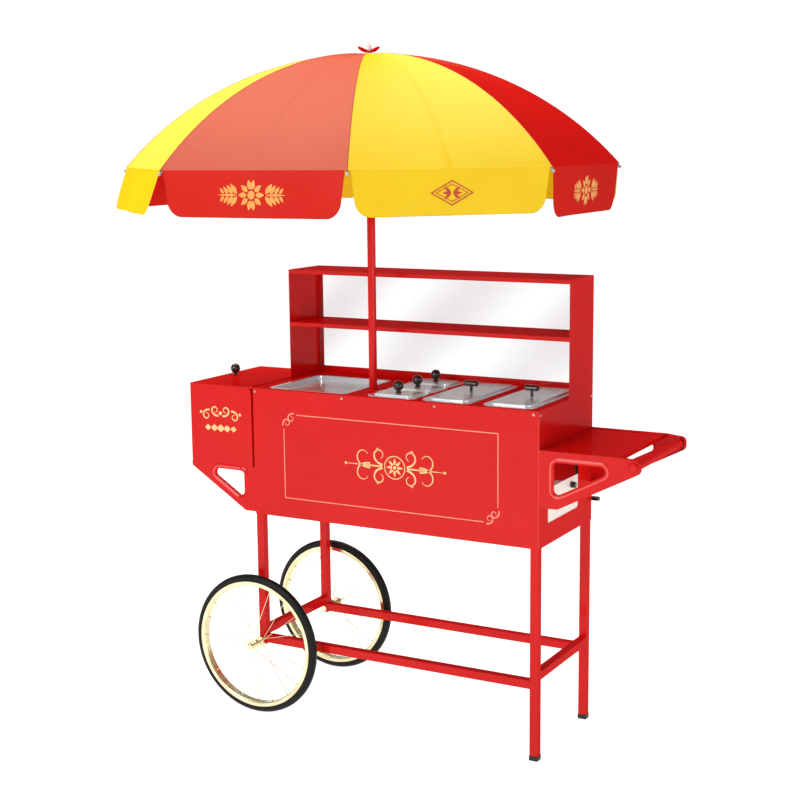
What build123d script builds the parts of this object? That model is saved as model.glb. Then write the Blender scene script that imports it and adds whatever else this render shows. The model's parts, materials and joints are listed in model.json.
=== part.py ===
"""Hot dog cart with a steam table, a drinks cooler, a back hutch, wire wheels and a folding umbrella.

Millimetres, +Z up. The origin is on the floor at the middle of the cart's outer box: the umbrella pole
stands at y = 0, the serving front faces -Y, the wheels and the cooler are at -X and the push handle at +X.
"""

import os
from math import atan2, cos, degrees, hypot, radians, sin

from build123d import *

os.makedirs("parts", exist_ok=True)

# Body
body_length = 988.0
body_depth = 408.0
body_height = 408.5
counter_height = 1058.5
sheet = 1.5
flange = 16.0
edge_round = 3.0
apron_height = 318.5

# Frame
tube = 25.4
tube_wall = 2.0
rail_top = 247.0
leg_headroom = 28.0
foot_floor = 4.0
foot_wall = 1.6
foot_height = 14.0

# Wheels
wheel_radius = 228.6
tyre_radius = 12.5
tyre_seat = 21.0
rim_width = 28.0
rim_depth = 14.0
rim_wall = 2.5
wheel_standoff = 37.5
hub_length = 54.0
hub_radius = 10.5
hub_flange_radius = 18.0
hub_flange_gap = 36.0
hub_flange_wall = 3.0
spoke_count = 20
spoke_radius = 1.0
spoke_lead = 24.0
axle_radius = 6.35
axle_cap_radius = 10.0
axle_cap_length = 14.0
axle_nut = 5.0
running_fit = 0.05
loose_fit = 0.3
seat_gap = 0.2

# Hutch
hutch_depth = 186.0
hutch_height = 357.5
hutch_corner = 14.0
shelf_height = 186.0
shelf_lip = 13.0
pane_wall = 3.0
upstand = 20.0

# Drinks cooler
cooler_length = 246.0
cooler_height = 247.5
cooler_wall = 12.0
lid_rise = 10.0
lid_wall = 1.5
hinge_setback = 8.0
knuckle_radius = 4.0
hinge_pin_radius = 1.8
knuckle_count = 7
knuckle_gap = 0.5
joint_width = 8.0
joint_depth = 10.0
bracket_wall = 2.0
bracket_flange = 18.0
bracket_foot = 39.0
bracket_foot_height = 6.0
bracket_band = 30.0
bracket_end = 14.0
bracket_post = 42.0
bracket_sill = 16.0
bracket_hole_round = 14.0
bead_gap = 2.5
bead_width = 12.0
bead_rise = 2.2
bead_slope = 66.0

# Ball knobs
knob_radius = 16.0
knob_stem_radius = 6.0
knob_height = 38.0
knob_edge = 38.0

# Side shelf and push handle
side_shelf_drop = 115.0
side_shelf_length = 240.0
side_shelf_wall = 4.0
side_shelf_lip = 8.0
handle_reach = 286.0
handle_drop = 137.5
handle_radius = 14.0
handle_overhang = 9.0
handle_tip_radius = 18.0
side_bracket_drop = 282.5
side_bracket_foot = 57.0
side_bracket_band = 36.0
side_bracket_post = 44.0
side_bracket_sill = 32.0

# Opening under the side shelf
window_front = 68.0
window_width = 230.0
window_drop = 344.5
window_height = 191.0
window_corner = 8.0

# Steam table
pan_width = 146.0
pan_front = 27.0
pan_back = 35.0
pan_depth = 95.0
pan_wall = 1.2
pan_rim = 11.0
pan_corner = 20.0
pan_places = (112.0, 315.0)
condiment_place = 502.0
condiment_count = 3
condiment_gap = 2.0
condiment_depth = 80.0
condiment_corner = 14.0
tray_left = 46.0
tray_right = 656.0
tray_front = 16.0
tray_length = 300.0
tray_depth = 14.0
tray_corner = 12.0
cut_gap = 1.0
lid_crown = 5.0
lid_plate = 1.2
lid_margin = 14.0
lid_skirt = 6.0
tank_depth = 149.0
tank_left = 402.0
tank_right = 27.5
tank_front = 22.0
tank_back = 22.0
tank_rim = 9.0
element_radius = 4.0
element_height = 20.0
element_spread = 150.0
element_margin = 22.0

# Lid handles
grip_length = 44.0
grip_radius = 9.0
grip_height = 33.0
post_radius = 4.5

# Heat control and drain
control_front = 66.0
control_width = 240.0
control_below = 12.0
control_height = 116.0
control_depth = 70.0
control_margin = 9.0
dial_from_front = 246.0
dial_above = 81.0
dial_radius = 10.0
dial_length = 16.0
dial_shaft_radius = 3.0
dial_shaft_length = 12.0
drain_from_right = 34.0
drain_from_back = 40.0
drain_above = 40.0
drain_run = 40.0
drain_radius = 6.0
valve_radius = 14.0
valve_length = 34.0
spout_length = 26.0
stem_radius = 3.0
stem_length = 16.0
lever_length = 63.0
lever_width = 15.0
lever_wall = 11.0

# Umbrella
pole_from_right = 621.0
pole_from_front = 128.5
pole_radius = 12.7
socket_depth = 296.0
socket_wall = 3.7
socket_flange = 25.0
socket_flange_wall = 3.0
rib_count = 8
rib_start = 205.5
rib_radius = 3.0
canopy_top_z = 2085.0
canopy_top_radius = 15.0
canopy_mid_drop = 79.0
canopy_mid_radius = 400.0
canopy_rim_drop = 333.0
canopy_rim_radius = 754.0
cloth = 2.0
cloth_gap = 0.6
seam_gap = 0.4
valance_drop = 122.0
valance_gap = 16.0
valance_taper = 18.0
valance_corner = 38.0
rib_tip_radius = 5.0
rib_overhang = 9.0
crown_radius = 30.0
crown_height = 16.0
crown_hinge_radius = 22.0
crown_drop = 12.0
slot_width = 7.0
ring_wall = 3.6
eye_radius = 4.2
eye_width = 5.0
eye_pin_radius = 1.5
runner_drop = 285.0
runner_height = 42.0
runner_radius = 30.0
runner_hinge_radius = 22.0
stretcher_reach = 330.0
fork_gap = 4.0
fork_wall = 2.0
fork_length = 20.0
fork_crotch = 14.0
fork_tip = 1.0
fork_half = 3.0
finial_height = 36.0
petal_radius = 45.0
petal_rise = 16.0


def circle_through(p, q, r):
    """Centre and radius of the circle through three points of a plane."""
    a = q[0] - p[0], q[1] - p[1]
    b = r[0] - p[0], r[1] - p[1]
    d = 2 * (a[0] * b[1] - a[1] * b[0])
    u = (b[1] * (a[0] ** 2 + a[1] ** 2) - a[1] * (b[0] ** 2 + b[1] ** 2)) / d
    v = (a[0] * (b[0] ** 2 + b[1] ** 2) - b[0] * (a[0] ** 2 + a[1] ** 2)) / d
    return (p[0] + u, p[1] + v), hypot(u, v)


def offset_point(point, centre, step):
    """The point moved by step away from the centre."""
    away = hypot(point[0] - centre[0], point[1] - centre[1])
    share = (away + step) / away
    return centre[0] + (point[0] - centre[0]) * share, centre[1] + (point[1] - centre[1]) * share


# The canopy's curve over a rib, and the rib's own line under it
gore_half = 180 / rib_count
rib_pitch = 360 / rib_count
canopy_mid_z = canopy_top_z - canopy_mid_drop
canopy_rim_z = canopy_top_z - canopy_rim_drop
runner_z = canopy_top_z - runner_drop
canopy_line = (
    (canopy_top_radius, canopy_top_z),
    (canopy_mid_radius, canopy_mid_z),
    (canopy_rim_radius, canopy_rim_z),
)
canopy_centre, canopy_curve = circle_through(*canopy_line)
rib_depth = cloth + cloth_gap + rib_radius
rib_mid = offset_point(canopy_line[1], canopy_centre, -rib_depth)
rib_rim = offset_point(canopy_line[2], canopy_centre, -rib_depth)
rib_hinge = (crown_hinge_radius, canopy_top_z - crown_drop)
rib_centre, rib_curve = circle_through(rib_hinge, rib_mid, rib_rim)
rim_turn = atan2(rib_rim[0] - rib_centre[0], rib_rim[1] - rib_centre[1])
rib_tip = (rib_rim[0] + rib_overhang * cos(rim_turn), rib_rim[1] - rib_overhang * sin(rim_turn))
rib_angles = [rib_start + k * rib_pitch for k in range(rib_count)]
umbrella_reach = rib_tip[0] * max(cos(radians(a)) for a in rib_angles) + rib_tip_radius

# Places that follow from the sizes above
handle_out = handle_reach + handle_tip_radius
x_right = (pole_from_right + umbrella_reach - handle_out) / 2
x_left = x_right - body_length
x_pole = x_right - pole_from_right
y_front = -pole_from_front
y_back = y_front + body_depth
y_middle = (y_front + y_back) / 2
body_bottom = counter_height - body_height
apron_bottom = counter_height - apron_height
hutch_front = y_back - hutch_depth
hutch_top = counter_height + hutch_height
counter_under = counter_height - sheet
leg_x = (x_left + sheet + tube / 2, x_right - sheet - tube / 2)
leg_y = (y_front + sheet + tube / 2, y_back - sheet - tube / 2)
leg_top = counter_height - leg_headroom
axle_z = wheel_radius
left_leg_bottom = axle_z - tube / 2
cooler_left = x_left - cooler_length
cooler_top = counter_height - lid_rise
cooler_bottom = cooler_top - cooler_height
side_shelf_height = counter_height - side_shelf_drop
handle_height = counter_height - handle_drop
side_bracket_bottom = counter_height - side_bracket_drop
shelf_under = side_shelf_height - side_shelf_wall
bracket_top = side_shelf_height + bracket_wall
window_bottom = counter_height - window_drop
control_bottom = window_bottom - control_below
dial_height = window_bottom + dial_above
tank_bottom = counter_under - tank_depth
drain_height = body_bottom + drain_above
pan_length = body_depth - pan_front - pan_back
pan_middle = y_front + pan_front + pan_length / 2
hutch_back = y_back - sheet


def save(piece, name):
    """Label a finished piece and write it under its own name."""
    piece.label = name
    export_step(piece, f"parts/{name}.step")


def span(u0, u1, v0, v1, corner=0.0, mode=Mode.ADD):
    """Add to the open sketch the rectangle between two corners, rounded where a corner is given."""
    with Locations(((u0 + u1) / 2, (v0 + v1) / 2)):
        if corner > 0:
            RectangleRounded(u1 - u0, v1 - v0, corner, mode=mode)
        else:
            Rectangle(u1 - u0, v1 - v0, mode=mode)


def square_tube():
    """Add to the open sketch the section of the frame's square tube at each place in force."""
    Rectangle(tube, tube)
    Rectangle(tube - 2 * tube_wall, tube - 2 * tube_wall, mode=Mode.SUBTRACT)


def front_plane(y):
    """The upright plane at a depth, with X to the right and Z up."""
    return Plane.XZ.offset(-y)


def side_plane(x):
    """The upright plane across the cart, with Y to the right and Z up."""
    return Plane.YZ.offset(x)


# Legs: the right pair stands on the floor, the left pair ends at the axle
with BuildPart() as legs:
    with BuildSketch(Plane.XY.offset(foot_floor)):
        with Locations(*[(leg_x[1], y) for y in leg_y]):
            square_tube()
    extrude(amount=leg_top - foot_floor)
    with BuildSketch(Plane.XY.offset(left_leg_bottom)):
        with Locations(*[(leg_x[0], y) for y in leg_y]):
            square_tube()
    extrude(amount=leg_top - left_leg_bottom)
    with BuildSketch(front_plane(y_back)):
        with Locations((leg_x[0], axle_z)):
            Circle(axle_radius + seat_gap)
    extrude(amount=body_depth, mode=Mode.SUBTRACT)
save(legs.part, "legs")

# Lower rails: front and back runs, and a cross run at each end, a tube higher
with BuildPart() as lower_rails:
    with BuildSketch(side_plane(leg_x[0] + tube / 2)):
        with Locations(*[(y, rail_top - tube / 2) for y in leg_y]):
            square_tube()
    extrude(amount=leg_x[1] - leg_x[0] - tube)
    with BuildSketch(front_plane(leg_y[0] + tube / 2)):
        with Locations(*[(x, rail_top + tube / 2) for x in leg_x]):
            square_tube()
    extrude(amount=-(leg_y[1] - leg_y[0] - tube))
save(lower_rails.part, "lower_rails")

# Foot caps: plastic cups on the two legs that reach the floor
with BuildPart() as foot_caps:
    with BuildSketch():
        with Locations(*[(leg_x[1], y) for y in leg_y]):
            RectangleRounded(tube + 2 * foot_wall, tube + 2 * foot_wall, 2 * foot_wall)
    extrude(amount=foot_height)
    with BuildSketch(Plane.XY.offset(foot_floor)):
        with Locations(*[(leg_x[1], y) for y in leg_y]):
            Rectangle(tube, tube)
    extrude(amount=foot_height, mode=Mode.SUBTRACT)
save(foot_caps.part, "foot_caps")

# Wheel places along the axle, the same distance off both long sides
wheel_y = {"front": y_front - wheel_standoff, "rear": y_back + wheel_standoff}
hub_half = hub_length / 2
collar_end = wheel_standoff - hub_half - loose_fit
cap_start = wheel_standoff + hub_half + loose_fit


# Axle: a stub through each left leg, with a nut behind the leg, a spacer, and a rounded cap on the wheel
nut_seat = sheet + tube
nut_end = nut_seat + axle_nut
axle_spans = [
    (y_front - cap_start, y_front + nut_end, axle_radius),
    (y_back - nut_end, y_back + cap_start, axle_radius),
    (y_front + nut_seat, y_front + nut_end, axle_cap_radius),
    (y_back - nut_end, y_back - nut_seat, axle_cap_radius),
    (y_front - collar_end, y_front + sheet, axle_cap_radius),
    (y_back - sheet, y_back + collar_end, axle_cap_radius),
    (y_front - cap_start - axle_cap_length, y_front - cap_start, axle_cap_radius),
    (y_back + cap_start, y_back + cap_start + axle_cap_length, axle_cap_radius),
]
with BuildPart() as axle:
    for y0, y1, radius in axle_spans:
        with BuildSketch(front_plane(y0)):
            with Locations((leg_x[0], axle_z)):
                Circle(radius)
        extrude(amount=-(y1 - y0))
    cap_ends = axle.faces().filter_by(Axis.Y).sort_by(Axis.Y)
    fillet((cap_ends[0] + cap_ends[-1]).edges(), radius=axle_cap_radius * 0.6)
save(axle.part, "axle")

rim_seat = wheel_radius - tyre_seat
rim_inner = rim_seat - rim_depth
for side, y in wheel_y.items():
    spin = Axis((leg_x[0], y, axle_z), (0, 1, 0))
    section = Plane(origin=(leg_x[0], y, axle_z), x_dir=(0, 1, 0), z_dir=(1, 0, 0))

    # Tyre: a thin solid rubber ring with a flat bead in the rim's channel
    with BuildPart() as tyre:
        with BuildSketch(section):
            with Locations((0, wheel_radius - tyre_radius)):
                Circle(tyre_radius)
            span(-tyre_radius, tyre_radius, 0, rim_seat, mode=Mode.SUBTRACT)
            bead_half = rim_width / 2 - rim_wall - seat_gap
            span(-bead_half, bead_half, rim_seat - rim_wall + seat_gap, rim_seat + rim_wall)
        revolve(axis=spin)
    save(tyre.part, f"tyre_{side}")

    # Wire wheel: a rolled channel rim laced to a spool hub with crossed spokes
    with BuildPart() as wire_wheel:
        with BuildSketch(section) as profile:
            span(-rim_width / 2, rim_width / 2, rim_inner, rim_seat)
            fillet(profile.vertices().group_by(Axis.Y)[0], radius=rim_depth / 3)
            with Locations((0, rim_seat)):
                Rectangle(rim_width - 2 * rim_wall, 2 * rim_wall, mode=Mode.SUBTRACT)
            span(-hub_half, hub_half, axle_radius + running_fit, hub_radius)
            for end in (-1, 1):
                with Locations((end * hub_flange_gap / 2, (hub_flange_radius + hub_radius) / 2)):
                    Rectangle(hub_flange_wall, hub_flange_radius - hub_radius)
        revolve(axis=spin)
        for k in range(spoke_count):
            end = 1 if k % 2 else -1
            lean = radians(spoke_lead) * (1 if k % 4 < 2 else -1)
            turn = radians(360 * k / spoke_count)
            root = hub_flange_radius - hub_flange_wall
            nipple = rim_inner + rim_wall
            start = Vector(leg_x[0] + root * cos(turn + lean), y + end * hub_flange_gap / 2,
                           axle_z + root * sin(turn + lean))
            finish = Vector(leg_x[0] + nipple * cos(turn), y + end * rim_wall, axle_z + nipple * sin(turn))
            with BuildSketch(Plane(origin=start, z_dir=finish - start)):
                Circle(spoke_radius)
            extrude(amount=(finish - start).length)
    save(wire_wheel.part, f"wire_wheel_{side}")

# Front panel with a return flange along the bottom, between the legs
with BuildPart() as front_panel:
    with BuildSketch(front_plane(y_front)):
        span(x_left, x_right, body_bottom, counter_height)
    extrude(amount=-sheet)
    with BuildSketch(front_plane(y_front + sheet)):
        span(leg_x[0] + tube / 2, leg_x[1] - tube / 2, body_bottom, body_bottom + sheet)
    extrude(amount=-flange)
save(front_panel.part, "front_panel")


def end_panel(x, edge):
    """An end panel of the body that runs up as the side of the hutch, one sheet thick to the right of x.

    edge is the middle of the flange that frames the pane at the hutch's back.
    """
    with BuildPart() as panel:
        with BuildSketch(side_plane(x)) as outline:
            span(y_front + sheet, y_back, body_bottom, counter_height)
            span(hutch_front, y_back, counter_height, hutch_top)
            step = outline.vertices().sort_by_distance((hutch_front, counter_height))[0]
            fillet(step, radius=hutch_corner)
            crest = outline.vertices().group_by(Axis.Y)[-1]
            fillet(crest, radius=edge_round)
        extrude(amount=sheet)
        with BuildSketch(front_plane(hutch_back)):
            span(edge - flange / 2, edge + flange / 2,
                 counter_height + upstand + seat_gap, hutch_top - edge_round)
        extrude(amount=-sheet)
    return panel.part


# End panels: the right one has the window to the heat control
end_blanks = [end_panel(x_left, x_left + flange / 2), end_panel(x_right - sheet, x_right - flange / 2)]
with BuildPart() as end_panels:
    add(end_blanks)
    with BuildSketch(side_plane(x_right)):
        window_start = y_front + window_front
        span(window_start, window_start + window_width, window_bottom, window_bottom + window_height,
             window_corner)
    extrude(amount=-2 * sheet, mode=Mode.SUBTRACT)
save(end_panels.part, "end_panels")

# Back panel: an apron behind the steam table, up to the sill of the hutch
with BuildPart() as back_panel:
    with BuildSketch(front_plane(hutch_back)):
        span(x_left + sheet, x_right - sheet, apron_bottom, counter_height + upstand)
    extrude(amount=-sheet)
save(back_panel.part, "back_panel")

# Counter layout: the steam table's wells from right to left
well_rows = [x_right - place for place in pan_places]
condiment_x = x_right - condiment_place
condiment_length = (pan_length - (condiment_count - 1) * (2 * pan_rim + condiment_gap)) / condiment_count
condiment_pitch = condiment_length + 2 * pan_rim + condiment_gap
condiment_start = pan_middle - (condiment_count - 1) / 2 * condiment_pitch
condiment_rows = [condiment_start + k * condiment_pitch for k in range(condiment_count)]
tray_x0 = x_left + tray_left
tray_x1 = x_right - tray_right
tray_y0 = y_front + tray_front
tray_y1 = tray_y0 + tray_length
socket_bore = pole_radius + loose_fit
socket_floor = counter_height - socket_depth
collar_top = counter_height + socket_flange_wall
pane_front = hutch_back - pane_wall

# Counter top with its wells cut out, a front flange inside the front panel, a sill at the back
# and the umbrella's socket, a collared tube with a closed foot
with BuildPart() as counter_top:
    with BuildSketch(Plane.XY.offset(counter_under)):
        span(x_left + sheet, x_right - sheet, y_front + sheet, hutch_back)
        with Locations(*[(x, pan_middle) for x in well_rows + [condiment_x]]):
            RectangleRounded(pan_width + 2 * cut_gap, pan_length + 2 * cut_gap, condiment_corner,
                             mode=Mode.SUBTRACT)
        span(tray_x0 + pan_rim - cut_gap, tray_x1 - pan_rim + cut_gap,
             tray_y0 + pan_rim - cut_gap, tray_y1 - pan_rim + cut_gap, tray_corner, mode=Mode.SUBTRACT)
        with Locations((x_pole, 0)):
            Circle(socket_bore, mode=Mode.SUBTRACT)
    extrude(amount=sheet)
    with BuildSketch(front_plane(y_front + sheet)):
        span(x_left + sheet, x_right - sheet, counter_under - flange, counter_under)
    extrude(amount=-sheet)
    with BuildSketch(front_plane(pane_front)):
        span(x_left + sheet, x_right - sheet, counter_height, counter_height + upstand)
    extrude(amount=sheet)
    with BuildSketch(Plane.XZ):
        span(x_pole + socket_bore, x_pole + socket_bore + socket_wall, socket_floor, collar_top)
        span(x_pole + socket_bore, x_pole + socket_flange, counter_height, collar_top)
        span(x_pole, x_pole + socket_bore + socket_wall, socket_floor, socket_floor + socket_wall)
    revolve(axis=Axis((x_pole, 0, 0), (0, 0, 1)))
save(counter_top.part, "counter_top")

# Hutch shelves: a top board and a middle shelf, each a tray turned down with a front lip
with BuildPart() as hutch_shelves:
    for top in (hutch_top, counter_height + shelf_height):
        with BuildSketch(side_plane(x_left + sheet)):
            span(hutch_front, hutch_back if top == hutch_top else pane_front, top - sheet, top)
            span(hutch_front, hutch_front + sheet, top - shelf_lip, top - sheet)
            span(hutch_front + sheet, hutch_front + shelf_lip, top - shelf_lip, top - shelf_lip + sheet)
        extrude(amount=body_length - 2 * sheet)
save(hutch_shelves.part, "hutch_shelves")

# Back pane: a clear sheet that stands in the sill and closes the back of the hutch
with BuildPart() as back_pane:
    with BuildSketch(front_plane(pane_front)):
        span(x_left + sheet, x_right - sheet, counter_height, hutch_top - sheet)
    extrude(amount=-pane_wall)
save(back_pane.part, "back_pane")

# Cooler hinge line: its pin runs along the joint between the lid and the body
hinge_x = x_left - hinge_setback
hinge_clear = knuckle_radius + knuckle_gap
knuckle_pitch = body_depth / knuckle_count


def knuckle_spans(first):
    """The depths of every other knuckle along the hinge, starting with the first or the second."""
    for k in range(first, knuckle_count, 2):
        y0 = y_front + k * knuckle_pitch + knuckle_gap / 2
        yield y0, y0 + knuckle_pitch - knuckle_gap


# Drinks cooler: an insulated box with a shadow joint against the body; its right wall
# carries the fixed half of the lid's hinge, a bar with knuckles and the pin
with BuildPart() as cooler_box:
    with BuildSketch(Plane.XY.offset(cooler_bottom)) as cooler_outline:
        span(cooler_left, x_left, y_front, y_back)
        fillet(cooler_outline.vertices().group_by(Axis.X)[0], radius=edge_round)
        span(x_left - joint_width, x_left, y_front, y_front + joint_depth, mode=Mode.SUBTRACT)
        span(x_left - joint_width, x_left, y_back - joint_depth, y_back, mode=Mode.SUBTRACT)
    extrude(amount=cooler_top - cooler_bottom)
    with BuildSketch(Plane.XY.offset(cooler_bottom + cooler_wall)):
        span(cooler_left + cooler_wall, x_left - cooler_wall, y_front + cooler_wall, y_back - cooler_wall,
             cooler_wall)
    extrude(amount=cooler_top - cooler_bottom, mode=Mode.SUBTRACT)
    with BuildSketch(front_plane(y_front + edge_round)):
        span(hinge_x + hinge_clear, x_left, cooler_top, counter_height)
    extrude(amount=-(body_depth - 2 * edge_round))
    for y0, y1 in knuckle_spans(0):
        with BuildSketch(front_plane(y0)):
            with Locations((hinge_x, counter_height)):
                Circle(knuckle_radius)
            span(hinge_x, hinge_x + hinge_clear, counter_height - knuckle_radius, counter_height)
        extrude(amount=-(y1 - y0))
    with BuildSketch(front_plane(y_front + knuckle_gap)):
        with Locations((hinge_x, counter_height)):
            Circle(hinge_pin_radius)
    extrude(amount=-(body_depth - 2 * knuckle_gap))
save(cooler_box.part, "cooler_box")

# Cooler lid: a shallow pressed tray, turned down over the box, with its half of the knuckles
lid_end = hinge_x - hinge_clear
with BuildPart() as cooler_lid:
    with BuildSketch(Plane.XY.offset(cooler_top + seat_gap)) as lid_outline:
        span(cooler_left, lid_end, y_front, y_back)
        fillet(lid_outline.vertices().group_by(Axis.X)[0], radius=edge_round)
    extrude(amount=lid_rise - seat_gap)
    with BuildSketch(Plane.XY.offset(cooler_top)):
        span(cooler_left + lid_wall, lid_end - lid_wall, y_front + lid_wall, y_back - lid_wall,
             edge_round / 2)
    extrude(amount=lid_rise - lid_wall, mode=Mode.SUBTRACT)
    for y0, y1 in knuckle_spans(1):
        with BuildSketch(front_plane(y0)):
            with Locations((hinge_x, counter_height)):
                Circle(knuckle_radius)
            span(lid_end, hinge_x, counter_height - knuckle_radius, counter_height)
            with Locations((hinge_x, counter_height)):
                Circle(hinge_pin_radius + running_fit, mode=Mode.SUBTRACT)
        extrude(amount=-(y1 - y0))
save(cooler_lid.part, "cooler_lid")


def ball_knob(x, y, z):
    """A ball knob on a flared stem, standing on the height z."""
    ball_z = z + knob_height - knob_radius
    with BuildPart() as knob:
        with BuildSketch(Plane.XZ):
            with BuildLine():
                Polyline((0, z), (knob_stem_radius * 1.6, z), (knob_stem_radius, z + knob_stem_radius),
                         (knob_stem_radius, ball_z), (0, ball_z), close=True)
            make_face()
        revolve(axis=Axis.Z)
        with Locations((0, 0, ball_z)):
            Sphere(knob_radius)
    return Pos(x, y, 0) * knob.part


save(ball_knob(cooler_left + knob_edge, y_middle, counter_height), "cooler_knob")


def rounded_hole(corners, margin):
    """The outline of a bracket's rounded triangular hole, grown by a margin."""
    with BuildSketch() as triangle:
        with BuildLine():
            Polyline(*corners, close=True)
        make_face()
        fillet(triangle.vertices(), radius=bracket_hole_round)
        if margin > 0:
            offset(amount=margin, mode=Mode.REPLACE)
    return triangle.sketch


def flanged_plate(y, inward, corners, rounds, hole, extra_hole=None):
    """A flat bracket in an upright plane, with a turned flange and a lipped triangular hole inside a bead.

    y is the outer face, inward is 1 where the flange turns towards +Y, corners and hole are (x, z) points,
    rounds maps the number of a corner to its radius, and extra_hole is (x, z, radius) of a round hole.
    """
    opening = rounded_hole(hole, 0)
    lip = rounded_hole(hole, bracket_wall)
    bead_inside = rounded_hole(hole, bead_gap)
    bead_outside = rounded_hole(hole, bead_gap + bead_width)
    with BuildPart() as plate:
        with BuildSketch(front_plane(y)) as outline:
            with BuildLine():
                Polyline(*corners, close=True)
            make_face()
            for number, radius in rounds.items():
                fillet(outline.vertices().sort_by_distance(corners[number])[0], radius=radius)
        extrude(amount=-inward * bracket_flange)
        with BuildSketch(front_plane(y + inward * bracket_wall)) as inside:
            add(outline.sketch_local)
            offset(amount=-bracket_wall, mode=Mode.REPLACE)
        extrude(amount=-inward * bracket_flange, mode=Mode.SUBTRACT)
        with BuildSketch(front_plane(y)):
            add(bead_outside)
            add(bead_inside, mode=Mode.SUBTRACT)
        extrude(amount=inward * bead_rise, taper=bead_slope)
        with BuildSketch(front_plane(y)):
            add(lip)
        extrude(amount=-inward * bracket_flange / 2)
        with BuildSketch(front_plane(y)):
            add(opening)
        extrude(amount=-inward * bracket_flange, mode=Mode.SUBTRACT)
        if extra_hole:
            with BuildSketch(front_plane(y)):
                with Locations(extra_hole[:2]):
                    Circle(extra_hole[2])
            extrude(amount=-inward * bracket_flange, mode=Mode.SUBTRACT)
    return plate.part


# Cooler brackets: a flanged triangle under the front and the back of the cooler
bracket_sides = ((y_front, 1), (y_back, -1))
foot_z = body_bottom + bracket_foot_height
foot_x = x_left - bracket_foot
end_z = cooler_bottom - bracket_end
cooler_slope = atan2(end_z - foot_z, foot_x - cooler_left)
cooler_corners = [
    (cooler_left, cooler_bottom),
    (x_left, cooler_bottom),
    (x_left, foot_z),
    (foot_x, foot_z),
    (cooler_left, end_z),
]
hole_right = x_left - bracket_post
hole_top = cooler_bottom - bracket_sill
edge_at_post = foot_z + (foot_x - hole_right) * sin(cooler_slope) / cos(cooler_slope)
hole_low = edge_at_post + bracket_band / cos(cooler_slope)
hole_left = hole_right - (hole_top - hole_low) * cos(cooler_slope) / sin(cooler_slope)
cooler_hole = [(hole_left, hole_top), (hole_right, hole_top), (hole_right, hole_low)]
cooler_pair = [flanged_plate(y, inward, cooler_corners, {}, cooler_hole) for y, inward in bracket_sides]

# Shelf brackets: flanged triangles that carry the side shelf and the push handle
handle_x = x_right + handle_reach
tip_x = x_right + handle_out
tip_low = handle_height - handle_tip_radius
side_slope = atan2(tip_low - side_bracket_bottom, handle_out - side_bracket_foot)
side_corners = [
    (x_right, bracket_top),
    (x_right + side_shelf_length + edge_round, bracket_top),
    (tip_x, handle_height + handle_tip_radius),
    (tip_x, tip_low),
    (x_right + side_bracket_foot, side_bracket_bottom),
    (x_right, side_bracket_bottom),
]
side_left = x_right + side_bracket_post
side_top = bracket_top - side_bracket_sill
side_edge = side_bracket_bottom + (side_bracket_post - side_bracket_foot) * sin(side_slope) / cos(side_slope)
side_low = side_edge + side_bracket_band / cos(side_slope)
side_right = side_left + (side_top - side_low) * cos(side_slope) / sin(side_slope)
side_hole = [(side_left, side_top), (side_right, side_top), (side_left, side_low)]
tip_rounds = {2: handle_tip_radius * 0.9, 3: handle_tip_radius * 0.9}
handle_hole = (handle_x, handle_height, handle_radius + seat_gap)
shelf_pair = [
    flanged_plate(y, inward, side_corners, tip_rounds, side_hole, handle_hole)
    for y, inward in bracket_sides
]
with BuildPart() as brackets:
    add(cooler_pair + shelf_pair)
save(brackets.part, "brackets")

# Side shelf: a plain tray hung under the brackets' top flanges, turned down at its free edge
with BuildPart() as side_shelf:
    shelf_y0 = y_front + bracket_wall + seat_gap
    shelf_y1 = y_back - bracket_wall - seat_gap
    shelf_edge = x_right + side_shelf_length
    notch_x = x_right + bracket_wall + seat_gap
    notch_y = bracket_flange + seat_gap
    with BuildSketch(Plane.XY.offset(shelf_under)):
        span(x_right, shelf_edge, shelf_y0, shelf_y1)
        span(x_right, notch_x, shelf_y0, y_front + notch_y, mode=Mode.SUBTRACT)
        span(x_right, notch_x, y_back - notch_y, shelf_y1, mode=Mode.SUBTRACT)
    extrude(amount=side_shelf_wall)
    with BuildSketch(front_plane(shelf_y0)):
        span(shelf_edge - 2 * sheet, shelf_edge, shelf_under - side_shelf_lip, shelf_under)
    extrude(amount=-(shelf_y1 - shelf_y0))
save(side_shelf.part, "side_shelf")

# Push handle: a round bar through the tips of the brackets, with rounded ends
with BuildPart() as push_handle:
    with BuildSketch(front_plane(y_front - handle_overhang)):
        with Locations((handle_x, handle_height)):
            Circle(handle_radius)
    extrude(amount=-(body_depth + 2 * handle_overhang))
    fillet(push_handle.edges().filter_by(GeomType.CIRCLE), radius=handle_overhang - edge_round)
save(push_handle.part, "push_handle")

# Steam tank: an open stainless box hung under the counter by its rim
tank_x0 = x_right - tank_left
tank_x1 = x_right - tank_right
tank_y0 = y_front + tank_front
tank_y1 = y_back - tank_back
with BuildPart() as water_tank:
    with BuildSketch(Plane.XY.offset(tank_bottom)):
        span(tank_x0, tank_x1, tank_y0, tank_y1, edge_round * 2)
    extrude(amount=counter_under - tank_bottom)
    with BuildSketch(Plane.XY.offset(counter_under - sheet)):
        span(tank_x0 - tank_rim, tank_x1 + tank_rim, tank_y0 - tank_rim, tank_y1 + tank_rim, edge_round * 2)
    extrude(amount=sheet)
    with BuildSketch(Plane.XY.offset(tank_bottom + sheet)):
        span(tank_x0 + sheet, tank_x1 - sheet, tank_y0 + sheet, tank_y1 - sheet, edge_round)
    extrude(amount=counter_under - tank_bottom, mode=Mode.SUBTRACT)
save(water_tank.part, "water_tank")

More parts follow.
